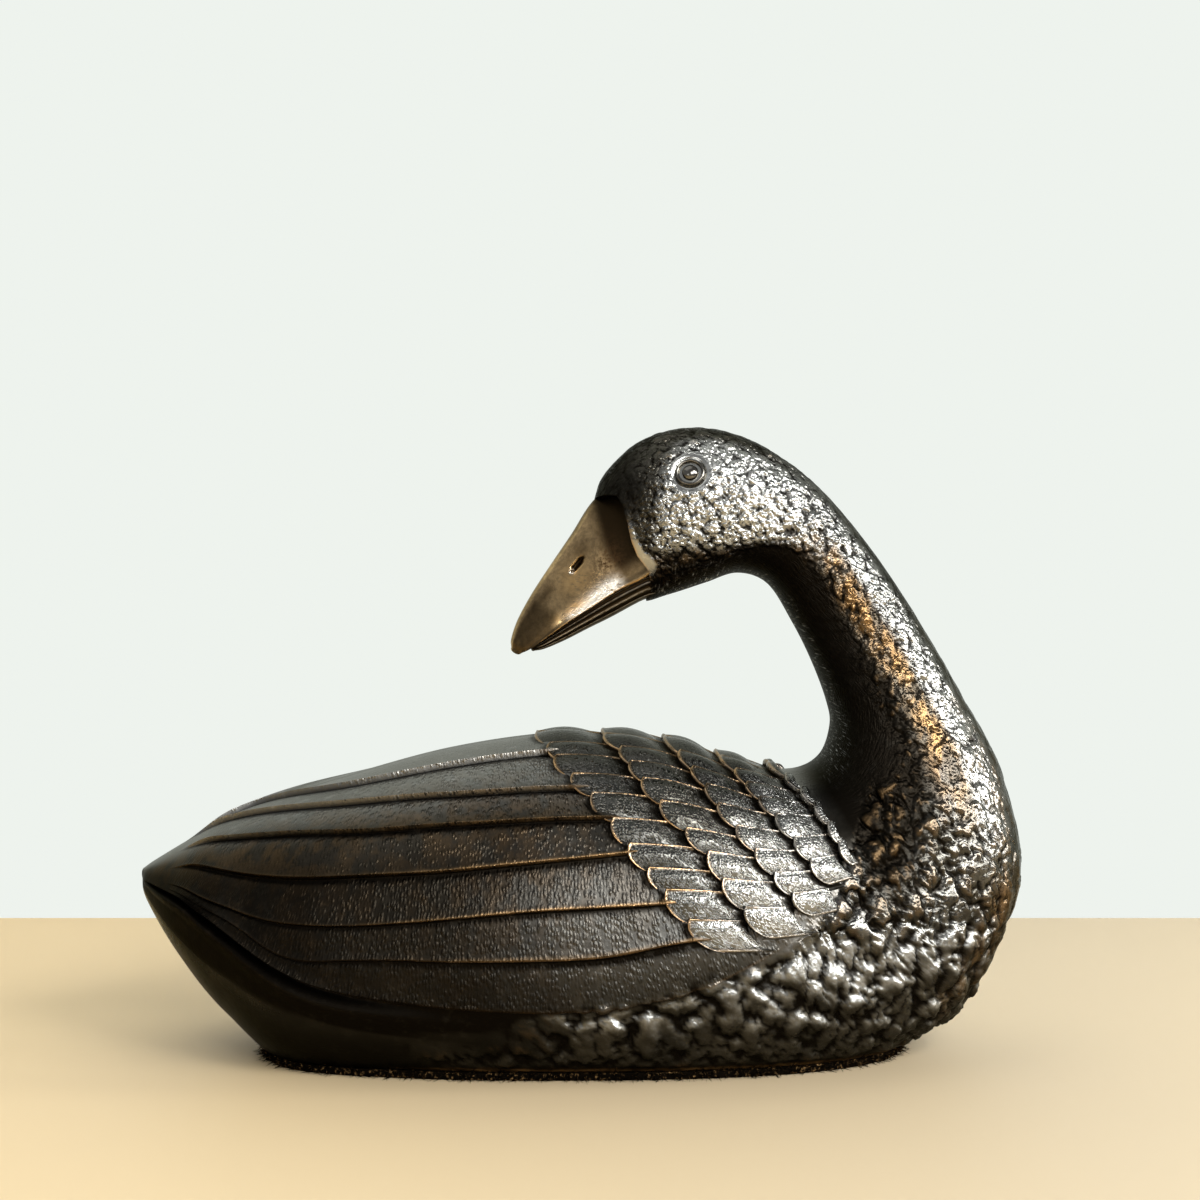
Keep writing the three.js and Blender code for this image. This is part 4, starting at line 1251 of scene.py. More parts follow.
        # Past the edge the skin dips into the head behind the bill.
        ahead = unit(base[-1] - base[-4])
        steps = np.arange(self.rim_rows)
        forward = np.interp(steps, [0, 1, 2, 6], [0.1, 0.1, -0.1, -1.5])[:, None, None]
        sink = np.interp(steps, [0, 1, 2, 6], [0.25, 0.8, 1.6, 5.5])[:, None, None]
        points = np.concatenate([points, points[-1] + (forward * ahead - sink * out[-1]) * MM])

        line = eased(LUMP_LINE, stops, 0.15)[:, None]
        masks = self.zones(s, turn, line, points[: len(stops), :, 2] / MM, rim, eye_zone)
        masks["dashes"] = ring["dashes"] * masks["dashes"]
        masks["worn"] = np.maximum(ring["worn"], 0.9 * bell(to_edge, 0.1, 0.45) * rim)
        # Painted shade beside the quills' crests and in the lip's groove, added to the zones' painted
        # shade
        masks["painted_shade"] = np.clip(ring["shade"] + masks["painted_shade"], 0, 1)
        extra = np.zeros((self.rim_rows, degrees.shape[1]))
        made = {key: np.concatenate([item, extra]) for key, item in masks.items()}
        run = np.cumsum(np.linalg.norm(np.diff(base, axis=0), axis=-1).mean(1)) / MM
        run = np.concatenate([[0], run, run[-1] + np.arange(1, self.rim_rows + 1)])
        made |= {"run": np.broadcast_to(run[:, None], points.shape[:2]), "points": points}
        return made

    def zones(
        self, s: Array, turn: Array, line: Array, z: Array, rim: Array, eye_zone: Array
    ) -> dict[str, Array]:
        """Masks of the bird's zones, which say how the skin is hammered, marked and coloured, and where
        shade, highlights and warm reflections are painted.

        Args:
            s: section of each point.
            turn: its angle from the back, from 0 to 180 on both sides.
            line: angle at which each row's hammered plumage begins.
            z: its height in millimetres.
            rim: mask of the rim along the head's plumage.
            eye_zone: mask of the eye sockets.

        Returns:
            Masks by row and column.
        """
        # Where the plumage is hammered, and the smooth feathers and the wing beside it.
        margin = 2.6 * window(s, 6.8, 7.6, 8.6, 9.2)
        neck = window(s, 9.8, 10.8, 14.5, 16.0)
        rough = smooth(turn, line - 1.0 + margin - 11 * neck, line + 3.0 + margin)
        rough = rough * (1 - MANTLE.under(s, turn) * (turn < line + 2))
        wing = (1 - rough) * falls(s, 8.6, 9.6)
        hem = (1 - rough) * window(s, 7.7, 8.7, 9.2, 9.8) * smooth(turn, 56, 66)
        flank = smooth(s, 5.3, 6.1)
        flank = flank + (1 - flank) * smooth(turn, 118, 128) * smooth(s, 4.6, 5.4)
        # The neck and the head.
        # Painted shade on the inner side of the neck's foot
        hollow = falls(turn, 76, 98) * window(s, 8.9, 9.7, 12.6, 14.0)
        crown = smooth(turn, 150, 164) * smooth(s, 12.5, 14.5)
        brow = smooth(s, 18.6, 19.6) * smooth(turn, 84, 112)
        jaw = np.interp(s, (14.5, 15.5, 16.3, 17.0, 19.0), (88, 80, 60, 54, 60))
        cheek = smooth(s, 14.5, 16.5) * window(turn, jaw - 6, jaw + 14, 134, 150)
        cheek = cheek * falls(s + 0.012 * (turn - 90), 18.5, 19.2)
        chin = falls(turn, jaw - 10, jaw + 10) * smooth(s, 15.8, 16.8)
        ridge = smooth(turn, 132, 150) * window(s, 9.4, 10.8, 15.4, 16.6)
        throat = window(s, 10.4, 12.0, 15.6, 17.0) * smooth(turn, 104, 116)
        inner = falls(turn, line - 6.0, line + 14.0) * smooth(s, 9.4, 10.6)
        hammered = rough * flank * smooth(z, 4.0, 8.0) * (1 - 0.6 * ridge)
        free = (1 - eye_zone) * (1 - rim) * (1 - 0.6 * crown) * (1 - 0.6 * brow)
        # Colours: warm bands, partly painted warm reflections; painted shade in the dark places;
        # painted highlights in the pale places.
        # Warm band, ember and chin are painted warm reflections beside the neck's highlights; the
        # quills' warmth is the wing's own tone
        band = bell(turn, 95, np.where(turn > 95, 12, 22)) * window(s, 10.8, 11.8, 15.2, 16.2)
        ember = bell(turn, 138, 13) * window(s, 9.2, 10.0, 12.0, 13.4)
        quills = wing * bell(turn, 66, 30) * (1 - 0.6 * smooth(s, 5.5, 6.6))
        shadow = 0.78 * smooth(turn, 36, 72) * (1 - 0.36 * smooth(s, 5.0, 6.4))
        shadow = (0.1 * smooth(turn, 20, 40) + shadow) * wing * (1 - hem)
        sheen = wing * (0.34 * smooth(s, 4.8, 6.4) * bell(turn, 82, 17) + 0.55 * falls(turn, 28, 54))
        first = MANTLE.free_end(0, np.clip(turn, 0, 90)) + np.clip(turn - 90, 0, 40) * 0.5
        under_mantle = bell((first - s) * MANTLE.section_run, 0.4, 1.4) * (turn < 91)
        # Painted shade beside the mantle's first row, on the inner neck, crown and brow, on the wing's
        # shaded side and on the neck's foot
        dark = 0.8 * under_mantle + inner + 0.72 * crown + 0.8 * brow + shadow + 0.95 * hollow
        warm = band * (1 - hollow) + 0.6 * ember + 0.6 * chin + 0.45 * quills
        # Painted highlights on the cheek, the throat, the head's rim, the wing's sheen and its hem
        pale = [cheek * (1 - chin), 0.7 * throat * (1 - ridge), rim, sheen, 0.42 * hem]
        return {
            "lumps": hammered * falls(s, 10.3, 12.0),
            "pebbles": hammered * window(s, 10.0, 12.0, 15.2, 17.0) * (1 - 0.8 * crown),
            "hammer": hammered * smooth(s, 14.5, 16.5) * free,
            "dashes": (1 - rough) * falls(s, 9.2, 10.0) * (0.5 + 0.5 * smooth(s, 3.6, 5.4)),
            "stipple": np.maximum(hammered * (0.35 + 0.65 * smooth(s, 11.5, 15.5)) * free, 0.5 * crown),
            "strokes": 1.3 * inner + 1.5 * crown + (0.6 * brow + 0.8 * chin) * (1 - rim),
            "painted_shade": dark,
            "warm_tone_and_reflection": np.clip(warm, 0, 1) * (1 - rim),
            "gloss": np.clip(0.45 + rough + 0.6 * crown + brow + rim, 0, 1),
            "pale": np.maximum.reduce(pale),
            # No highlights are painted on the inner neck or on the neck's foot
            "unlit": np.maximum(inner, 0.95 * hollow),
            # The cheek and the head's rim get no painted shade on faces that look down
            "unshaded": np.maximum(0.85 * cheek, rim),
            "hair_highlights": inner * falls(turn, 16, 38) + chin * falls(turn, 10, 60) + 0.3 * crown,
            "lump_zone": rough * flank,
            "sections": s,
        }

    def normals(self, points: Array) -> Array:
        """Unit normals of the skin's grid, out of the metal."""
        around = np.roll(points, -1, axis=1) - np.roll(points, 1, axis=1)
        return unit(np.cross(around, np.gradient(points, axis=0)))

    def hammer(self, skin: dict[str, Array], material: bpy.types.Material) -> dict[str, Array]:
        """Runs the relief over the whole skin, paints shade into its creases and on faces that look
        down, and paints highlights on the lumps' tops.

        Args:
            skin: the skin as laid out.
            material: its finish.

        Returns:
            The skin with its lumps, painted shade, painted highlights and worn tops.
        """
        before = skin.pop("points")
        count, columns = before.shape[:2]
        faces = grid_faces(count, columns)
        draft = make_piece("skin_draft", before.reshape(-1, 3), faces, material, values=skin)
        run_nodes(draft, relief_nodes(material), {"Wander": 0.8})
        after = points_of(draft.data).reshape(before.shape)
        bpy.data.objects.remove(draft)
        z, level = before[..., 2], self.felt * MM
        after[..., 2] = np.where(z <= level, z, np.maximum(after[..., 2], level))
        height = ((after - before) * self.normals(before)).sum(-1) / MM
        near = [np.roll(height, d, axis=axis) for d in (-5, -3, 3, 5) for axis in (0, 1)]
        sharp = height - sum(near) / len(near)
        facing = self.normals(after)[..., 2]
        facing = sum(np.roll(facing, (i, j), axis=(0, 1)) for i in (-1, 0, 1) for j in (-1, 0, 1)) / 9
        low = skin["lumps"] * falls(after[..., 2] / MM, 40, 60)
        # Painted shade on faces that look down
        under = falls(facing, -0.75, 0.0) * (1 - skin["unshaded"]) * (1 - 0.5 * low)
        # Painted highlights on the upward tops of the lumps and pebbles
        tops = smooth(facing, -0.06 - 0.34 * low, 0.42 - 0.24 * low)
        tops = tops * np.clip(skin["lumps"] + skin["pebbles"], 0, 1)
        tops = (0.22 + 0.5 * low) * tops * falls(skin["sections"], 10.6, 12.5)
        skin["pale"] = np.maximum(skin["pale"], tops) * (1 - skin["unlit"])
        # Painted shade in the creases between the lumps
        crease = smooth(-sharp, 0.03, 0.55 - 0.3 * smooth(skin["sections"], 12.0, 15.0))
        skin["painted_shade"] = np.clip(skin["painted_shade"] + 0.95 * crease + under, 0, 1)
        skin["gloss"] = skin["gloss"] * (1 - 0.6 * low)
        foot = bell(after[..., 2] / MM, 3.7, 0.5) * skin["lump_zone"]
        rubbed = 0.12 * smooth(sharp, 0.2, 0.6) * (1 - low) + 0.5 * foot
        skin["worn"] = np.clip(skin["worn"] + rubbed, 0, 1)
        skin["points"] = after
        return skin

    def part(
        self, skin: dict[str, Array], name: str, rows: slice, start: int, material: bpy.types.Material
    ) -> bpy.types.Object:
        """Cuts a stretch out of the skin as a closed piece.

        Args:
            skin: the hammered skin.
            name: name of the piece.
            rows: its rows.
            start: the column where its flow map is cut open.
            material: its finish.

        Returns:
            The piece.
        """
        points = skin["points"]
        columns = points.shape[1]
        order = (start + np.arange(columns)) % columns
        normals = self.normals(points)[rows][:, order].reshape(-1, 3)
        points = points[rows][:, order]
        count = len(points)
        closed = np.concatenate([points, points[:, :1]], axis=1)
        girth = np.cumsum(np.linalg.norm(np.diff(closed, axis=1), axis=-1), axis=1) / MM
        girth = np.concatenate([np.zeros((count, 1)), girth], axis=1)
        girth -= girth[:, [columns // 2]]
        flow = np.stack([np.broadcast_to(skin["run"][rows, :1], girth.shape), girth], -1)
        quads = grid_faces(count, columns)
        row, column = np.divmod(quads, columns)
        wrapped = (column == 0) & (column.max(axis=1, keepdims=True) == columns - 1)
        uv = [flow[row, np.where(wrapped, columns, column)].reshape(-1, 2)]
        points, faces = points.reshape(-1, 3), quads.tolist()
        for first, flip in ((0, True), ((count - 1) * columns, False)):
            ring = np.arange(columns) + first
            at, nexts = points[ring].mean(0), np.roll(ring, -1)
            faces += fan_faces(ring, len(points), flip)
            facing = np.cross(points[ring] - at, points[nexts] - at).sum(0) * (-1 if flip else 1)
            points = np.concatenate([points, [at]])
            normals = np.concatenate([normals, [unit(facing)]])
            middle = flow[[0 if flip else -1], :1]
            uv.append(np.repeat(middle, 3 * columns, axis=1).reshape(-1, 2))
        kept = ("dashes", "stipple", "strokes", "worn", "painted_shade", "warm_tone_and_reflection", "gloss", "pale", "hair_highlights")
        values = {key: np.concatenate([skin[key][rows][:, order].ravel(), [0, 0]]) for key in kept}
        return make_piece(name, points, faces, material, np.concatenate(uv), normals, values)

    def build(self, material: bpy.types.Material) -> list[bpy.types.Object]:
        """Builds the castings' skin, hammers it and parts it into pieces.

        Args:
            material: its finish.

        Returns:
            The pieces.
        """
        skin = self.hammer(self.lay_out(), material)
        wing, joint = self.rows[0], self.rows[0] + self.rows[1]
        end = len(skin["points"])
        made = []
        for name, rows, start, node in (
            ("wings_and_tail", slice(0, wing + 1), self.half_ring, "body_casting"),
            ("breast", slice(wing, joint + 1), self.half_ring, "body_casting"),
            ("neck_and_head", slice(joint, end), 0, "neck_and_head_casting"),
        ):
            piece = self.part(skin, name, rows, start, material)
            made.append(dress(piece, node))
        return made


# Bill


@dataclass
class Bill:
    """Upper and lower bill, polished and set into the head."""

    upper: tuple = (
        (16.0, 209.0, 31.0, 178.5, 15.6), (4.6, 199.4, 24.0, 171.6, 14.8),
        (-3.5, 187.0, 14.0, 166.6, 13.6), (-11.5, 175.2, 4.9, 160.8, 12.2),
        (-18.0, 165.2, -4.2, 155.0, 10.6), (-23.0, 156.0, -12.4, 149.2, 8.7),
        (-25.4, 149.0, -18.2, 145.2, 6.6), (-25.4, 145.6, -21.6, 143.6, 4.3),
    )
    upper_slice: tuple = (
        (0, 0), (0.03, 0.19), (0.12, 0.36), (0.3, 0.55), (0.54, 0.765), (0.74, 0.9), (0.9, 0.97),
        (1.0, 1.0), (0.97, 0.6), (0.95, 0),
    )
    lower: tuple = (
        (29.6, 173.6, 27.4, 164.2, 12.9), (23.6, 171.7, 22.2, 162.7, 12.7),
        (13.6, 166.8, 11.2, 156.8, 11.8), (4.4, 161.0, 2.7, 152.6, 10.6),
        (-4.7, 155.2, -5.5, 148.4, 8.9), (-12.8, 149.6, -13.0, 145.2, 6.7),
        (-17.0, 146.7, -16.9, 144.4, 4.5),
    )
    lower_slice: tuple = (
        (0.12, 0), (0.06, 0.7), (0, 0.96), (0.12, 1.0), (0.45, 0.95), (0.8, 0.72), (0.96, 0.4),
        (1.0, 0),
    )
    nostril: tuple = (-1.2, 175.7)
    nostril_axis: tuple = (0.62, 0.78)
    nostril_half: tuple = (3.9, 1.2)
    nostril_depth: float = 2.2
    # Grooves run along the side of the lower bill, between these points of its half slice.
    grooves: tuple = (2.9, 5.2)
    groove_pitch: float = 0.77
    groove_depth: float = 0.45
    upper_grid: tuple = (210, 90)
    lower_grid: tuple = (160, 70)
    tip_rows: int = 7
    tip_reach: float = 1.3

    def loft(
        self, sections: tuple, outline: tuple, rows: int, steps: int
    ) -> tuple[Array, Array, Array]:
        """Dense loft of one half of the bill, mirrored to both sides.

        Args:
            sections: ridge point, mouth point and half width of each section.
            outline: half a slice, as shares of the depth and of the half width.
            rows: number of rings.
            steps: number of points in half a ring.

        Returns:
            Points by ring, the place of each point along its half slice, and along the bill.
        """
        along = np.linspace(0, len(sections) - 1, rows)
        rx, rz, mx, mz, half = curve_through(sections, along).T
        place = np.linspace(0, len(outline) - 1, steps)
        depth, width = curve_through(outline, place).T
        width[0] = width[-1] = 0.0
        x = rx[:, None] + (mx - rx)[:, None] * depth
        z = rz[:, None] + (mz - rz)[:, None] * depth
        y = -half[:, None] * width
        side = np.stack([x, y, z], -1)
        other = side[:, -2:0:-1] * [1, -1, 1]
        ring_place = np.concatenate([place, place[-2:0:-1]])
        rings = np.concatenate([side, other], 1)
        # The tip is rounded off past its last slice.
        last, ahead = rings[-1], unit(rings[-1].mean(0) - rings[-4].mean(0))
        turn = np.linspace(0, np.pi / 2, self.tip_rows + 1)[1:, None, None]
        centre = last.mean(0)
        cap = centre + (last - centre) * np.maximum(np.cos(turn), 0.02)
        rings = np.concatenate([rings, cap + ahead * self.tip_reach * np.sin(turn)])
        return rings, ring_place, np.concatenate([along, np.full(self.tip_rows, along[-1])])

    def shell(
        self, name: str, rings: Array, masks: dict[str, Array], material: bpy.types.Material, node: str
    ) -> bpy.types.Object:
        """Closes rings into a piece that stands for a CAD node.

        Args:
            name: name of the piece.
            rings: its points in millimetres, ring by ring from the root.
            masks: what each point carries.
            material: its finish.
            node: the CAD node.

        Returns:
            The piece.
        """
        count, columns = rings.shape[:2]
        points = rings.reshape(-1, 3) * MM
        faces = grid_faces(count, columns)[:, ::-1].tolist()
        for first, flip in (((count - 1) * columns, True), (0, False)):
            ring = np.arange(columns) + first
            faces += fan_faces(ring, len(points), flip)
            points = np.concatenate([points, points[ring].mean(0)[None]])
        values = {}
        for key, mask in masks.items():
            spread = np.clip(np.broadcast_to(mask, (count, columns)), 0, 1)
            values[key] = np.concatenate([spread.ravel(), spread[-1:, 0], spread[:1, 0]])
        return dress(make_piece(name, points, faces, material, values=values), node)

    def tint(self, rings: Array, place: Array, along: Array) -> dict[str, Array]:
        """Masks of the upper bill: painted shade and dark reflections at the root, shoulder, nail,
        culmen and inside the mouth, painted golden reflections on the middle, lower side and mouth
        edge, a painted highlight on a scratched patch, and a raw patch.

        Args:
            rings: points in millimetres.
            place: place of each column on its half slice.
            along: section of each ring.

        Returns:
            Masks by ring and column.
        """
        down = curve_through(self.upper_slice, place)[None, :, 0]
        shares = (0.03, 0.25, 0.48, 0.69, 0.87, 0.99, 1.0)
        u = np.interp(along, range(1, 8), shares)[:, None]
        line = np.array(BROW_LINE[2:])
        order = np.argsort(line[:, 1])
        before = np.interp(rings[..., 2], line[order, 1], line[order, 0]) - rings[..., 0]
        root = falls(before, 8.0, 16.5) * (1 - 0.5 * smooth(down, 0.72, 0.95))
        shoulder = bell(down, 0.26, 0.13) * np.maximum(bell(u, 0.27, 0.09), smooth(u, 0.5, 0.6))
        side = bell(down, 0.9, 0.09) * falls(u, 0.84, 0.92)
        nail = smooth(u, 0.62, 0.74) * smooth(down, 0.06, 0.2) * (1 - side * falls(u, 0.7, 0.8))
        culmen = falls(down, 0.0, 0.07) * falls(u, 0.2, 0.5)
        inside = smooth(place, 7.2, 7.5)[None]
        middle = bell(down, 0.5, 0.25) * bell(u, 0.42, 0.12)
        lower_side = bell(down, 0.8, 0.1) * bell(u, 0.58, 0.12)
        mouth = bell(place, 6.95, 0.2)[None] * falls(u, 0.86, 0.95)
        # Painted shade and dark reflections at the root, shoulder, nail, culmen and inside the mouth
        dark = [root, 0.74 * shoulder, 0.84 * nail, 0.7 * culmen, inside * np.ones_like(u)]
        return {
            "painted_shade": np.maximum.reduce(dark),
            "raw": bell(before, 13.0, 7.0) * bell(down, 0.6, 0.2),
            "pale": 1.3 * bell(down, 0.9, 0.11) * window(u, 0.14, 0.32, 0.6, 0.72) * (1 - inside),
            "tan": np.maximum.reduce([0.6 * middle, 0.9 * lower_side, mouth]),
        }

    def build(self, material: bpy.types.Material) -> list[bpy.types.Object]:
        """Builds both halves of the bill.

        Args:
            material: their finish.

        Returns:
            The two pieces.
        """
        rings, place, along = self.loft(self.upper, self.upper_slice, *self.upper_grid)
        masks = self.tint(rings, place, along)
        axis = np.array([self.nostril_axis[0], 0, self.nostril_axis[1]])
        across = np.array([-self.nostril_axis[1], 0, self.nostril_axis[0]])
        away = rings * [1, 0, 1] - np.array([self.nostril[0], 0, self.nostril[1]])
        half_length, half_width = self.nostril_half
        far = ((away @ axis) / half_length) ** 2 + ((away @ across) / half_width) ** 2
        visible = (place < 6)[None]
        side = np.sign(rings[..., 1])
        rings[..., 1] -= side * self.nostril_depth * falls(far, 0.35, 1.2) * visible
        # The nostril's slot is painted in shade, with a painted highlight at its lower end
        slot = falls(far, 0.9, 1.5) * visible
        low_end = slot * falls(away @ axis, -3.2, -1.8)
        masks = {key: mask * (1 - slot) for key, mask in masks.items()}
        masks["painted_shade"] = masks["painted_shade"] + slot * (1 - low_end)
        masks["pale"] = masks["pale"] + 0.9 * low_end
        upper = self.shell("upper_bill_polished", rings, masks, material, "upper_bill")
        rings, place, along = self.loft(self.lower, self.lower_slice, *self.lower_grid)
        start, end = self.grooves
        inside = (place > start) & (place < end)
        wave = 0.5 - 0.5 * np.cos((place - start) / self.groove_pitch * 2 * np.pi)
        groove = np.where(inside, wave, 0)[None]
        fade = falls(along, 5.0, 5.9)[:, None]
        rings[..., 1] -= np.sign(rings[..., 1]) * self.groove_depth * groove * fade
        ridged = inside[None] * fade * (1 - groove) ** 10
        # The lower bill is painted in shade, with painted highlights along its ridges
        masks = {"painted_shade": 1.0 - 0.45 * ridged, "raw": 0.0, "pale": 0.4 * ridged, "tan": 0.0}
        lower = self.shell("lower_bill_polished", rings, masks, material, "lower_bill")
        return [upper, lower]


# Eyes


@dataclass
class Eyes:
    """Domed eyes inside raised lids."""

    segments: int = 72
    dome_height: float = 1.75
    dome_sink: float = 0.75
    pole: float = 0.001
    stem_foot: float = -2.0
    lid_half_width: float = 0.6
    lid_height: float = 0.75
    lid_sink: float = 0.35
    lid_egg: float = 1.04

    def turned(
        self, profile: Array, at: Array, look: Array, egg: float = 1.0, looped: bool = False
    ) -> tuple[Array, list]:
        """Turns a profile round an axis.

        Args:
            profile: radius and height of each point, in millimetres, from the axis back to it.
            at: foot of the axis.
            look: its direction.
            egg: how much longer the shape is lengthwise than it is high.
            looped: whether the profile's last point joins its first.

        Returns:
            Points and faces.
        """
        side = unit(np.cross([0, 0, 1.0], look))
        top = np.cross(look, side)
        angle = np.linspace(0, 2 * np.pi, self.segments, endpoint=False)
        radial = np.cos(angle)[:, None] * side * egg + np.sin(angle)[:, None] * top
        rings = at + (profile[:, None, :1] * radial[None] + profile[:, None, 1:] * look) * MM
        faces = grid_faces(len(profile), self.segments, looped=looped)
        return rings.reshape(-1, 3), faces.tolist()

    def build(self, material: bpy.types.Material) -> list[bpy.types.Object]:
        """Builds both eyes and both lids.

        Args:
            material: their finish.

        Returns:
            The four pieces.
        """
        made = []
        for name, side in (("right", -1), ("left", 1)):
            at, look = EYE.place(side)
            t = np.linspace(0, np.pi / 2, 22)
            dome = [EYE.ball * np.cos(t), self.dome_height * np.sin(t) - self.dome_sink]
            dome = np.stack(dome, -1)
            dome[-1, 0] = self.pole
            stem = [[self.pole, self.stem_foot], [EYE.ball * 0.97, self.stem_foot + 0.1]]
            ball, faces = self.turned(np.concatenate([stem, dome]), at, look)
            first, last = range(self.segments), range(len(ball) - self.segments, len(ball))
            faces += [list(first)[::-1], list(last)]
            piece = make_piece(f"eye_{name}_polished", ball, faces, material)
            made.append(dress(piece, f"eye_{name}"))
            t = np.linspace(0, 2 * np.pi, 28, endpoint=False)
            lid = [EYE.lid + self.lid_half_width * np.cos(t), self.lid_height * np.sin(t)]
            lid = np.stack(lid, -1) - [0, self.lid_sink]
            points, faces = self.turned(lid, at, look, self.lid_egg, looped=True)
            piece = make_piece(f"eye_ring_{name}_chased", points, faces, material)
            made.append(dress(piece, f"eye_ring_{name}"))
        return made


# Felt


def fuzz_nodes(material: bpy.types.Material) -> bpy.types.NodeTree:
    """Geometry Nodes group that lets short fibres stand out of a felt's edge.

    Args:
        material: the finish of the felt and the fibres.

    Returns:
        The group.
    """
    sizes = {"Density": 1.5e6, "Fibre Length": 0.0032, "Fibre Radius": 0.00017, "Tilt": 0.9}
    inputs = [("Geometry", GEOMETRY, None), ("Seed", "NodeSocketInt", 11)]
    inputs += [(name, NUMBER, size) for name, size in sizes.items()]
    outputs = [("Geometry", GEOMETRY)]
    group, w, source, result = new_group("felt fuzz", "GeometryNodeTree", inputs, outputs)
    get = source.outputs
    strand = w.add("GeometryNodeMeshCone", {"fill_type": "NGON"}, Vertices=3, Side_Segments=1)
    tip_radius = 0.00002
    w.fill(strand, {"Radius Bottom": get["Fibre Radius"], "Radius Top": tip_radius})
    w.fill(strand, {"Depth": get["Fibre Length"]})
    edge = w.add("GeometryNodeInputNamedAttribute", {"data_type": "FLOAT"}, Name="edge")
    chosen = w.add("FunctionNodeCompare", {"operation": "GREATER_THAN", "data_type": "FLOAT"})
    w.fill(chosen, {0: edge.outputs["Attribute"], 1: 0.9})
    scatter = w.add("GeometryNodeDistributePointsOnFaces", Mesh=get["Geometry"], Seed=get["Seed"])
    w.fill(scatter, {"Selection": chosen.outputs[0], "Density": get["Density"]})
    tilt = w.add("FunctionNodeRandomValue", {"data_type": "FLOAT_VECTOR"}, Seed=get["Seed"])
    w.fill(tilt, {i: w.grown((end, end, end), get["Tilt"]) for i, end in enumerate((-1, 1))})
    to_rotation = w.add("FunctionNodeEulerToRotation")
    w.feed(to_rotation.inputs[0], tilt.outputs[0])
    turn = w.add("FunctionNodeRotateRotation", {"rotation_space": "LOCAL"})
    w.fill(turn, {0: scatter.outputs["Rotation"], 1: to_rotation.outputs[0]})
    # The float pair of a Random Value node is inputs 2 and 3 and output 1.
    size = w.add("FunctionNodeRandomValue", {"data_type": "FLOAT"}, Seed=5)
    w.fill(size, {2: 0.25, 3: 1.5})
    placed = w.add("GeometryNodeInstanceOnPoints", Points=scatter.outputs["Points"])
    w.fill(placed, {"Instance": strand.outputs["Mesh"], "Rotation": turn.outputs[0]})
    w.feed(placed.inputs["Scale"], size.outputs[1])
    both = w.add("GeometryNodeJoinGeometry")
    w.feed(both.inputs[0], placed.outputs[0])
    w.feed(both.inputs[0], get["Geometry"])
    whole = w.add("GeometryNodeRealizeInstances", Geometry=both.outputs[0])
    # Fibres that point down are flattened on the table.
    at = w.parts(w.add("GeometryNodeInputPosition").outputs[0])
    above = w.add("ShaderNodeCombineXYZ", X=at["X"], Y=at["Y"], Z=w.math("MAXIMUM", at["Z"], 0.0))
    kept = w.add("GeometryNodeSetPosition", Geometry=whole.outputs[0], Position=above.outputs[0])
    finish = w.add("GeometryNodeSetMaterial", Geometry=kept.outputs[0], Material=material)
    w.feed(result.inputs[0], finish.outputs[0])
    return group


@dataclass
class FeltPad:
    """The felt glued under the base."""

    thickness: float = 3.0
    inset: float = 0.3
    points: int = 420
    # Height and bulge of each ring of the pad, which is rounded at both edges.
    levels: tuple = (
        (0.0, -0.5), (0.25, -0.1), (0.9, 0.1), (1.6, 0.15), (2.3, 0.05), (2.8, -0.15), (2.95, -0.5),
    )

    def outline(self) -> Array:
        """Outline of the base where the skin meets the felt.

        Returns:
            Evenly spaced points in metres, going once round.
        """
        level = self.thickness * MM
        fine = np.linspace(2.5, 10.0, 3000)
        under = fine[SWEEP.skin(fine, 180.0)[:, 2] < level]
        turn = (1 - np.cos(np.linspace(0, np.pi, self.points // 2 + 1))) / 2
        s = under[0] + (under[-1] - under[0]) * turn
        start, end = np.full(len(s), 90.0), np.full(len(s), 180.0)
        meeting = last_kept(start, end, lambda at: SWEEP.skin(s, at)[:, 2] > level, 40)
        side = SWEEP.skin(s, meeting)[:, :2]
        side[[0, -1], 1] = 0.0
        ring = np.concatenate([side, side[-2:0:-1] * [1, -1]])
        step = np.linalg.norm(np.roll(ring, -1, axis=0) - ring, axis=-1)
        run = np.concatenate([[0], np.cumsum(step)])
        even = np.linspace(0, run[-1], self.points, endpoint=False)
        closed = np.concatenate([ring, ring[:1]])
        return np.stack([np.interp(even, run, closed[:, i]) for i in (0, 1)], -1)

    def build(self, material: bpy.types.Material) -> bpy.types.Object:
        """Builds the pad and its fuzz.

        Args:
            material: its finish.

        Returns:
            The piece.
        """
        ring = self.outline()
        tangent = unit(np.roll(ring, -1, axis=0) - np.roll(ring, 1, axis=0))
        out = np.stack([tangent[:, 1], -tangent[:, 0]], -1)
        rows = []
        for height, bulge in self.levels:
            flat = ring + out * (bulge - self.inset) * MM
            rows.append(np.concatenate([flat, np.full((len(ring), 1), height * MM)], axis=1))
        count, rings = len(ring), len(self.levels)
        points = np.concatenate(rows + [[[0, 0, 0.0]], [[0, 0, self.levels[-1][0] * MM]]])
        faces = grid_faces(rings, count).tolist()
        bottom, top, upper = rings * count, rings * count + 1, (rings - 1) * count
        for i in range(count):
            j = (i + 1) % count
            faces += [[j, i, bottom], [upper + i, upper + j, top]]
        edge = np.concatenate([np.repeat([0] + [1] * (rings - 2) + [0], count), [0, 0]])
        piece = make_piece("felt_pad_wool", points, faces, material, values={"edge": edge})
        run_nodes(piece, fuzz_nodes(material), {"Seed": 11})
        return dress(piece, "felt_pad")


# Studio


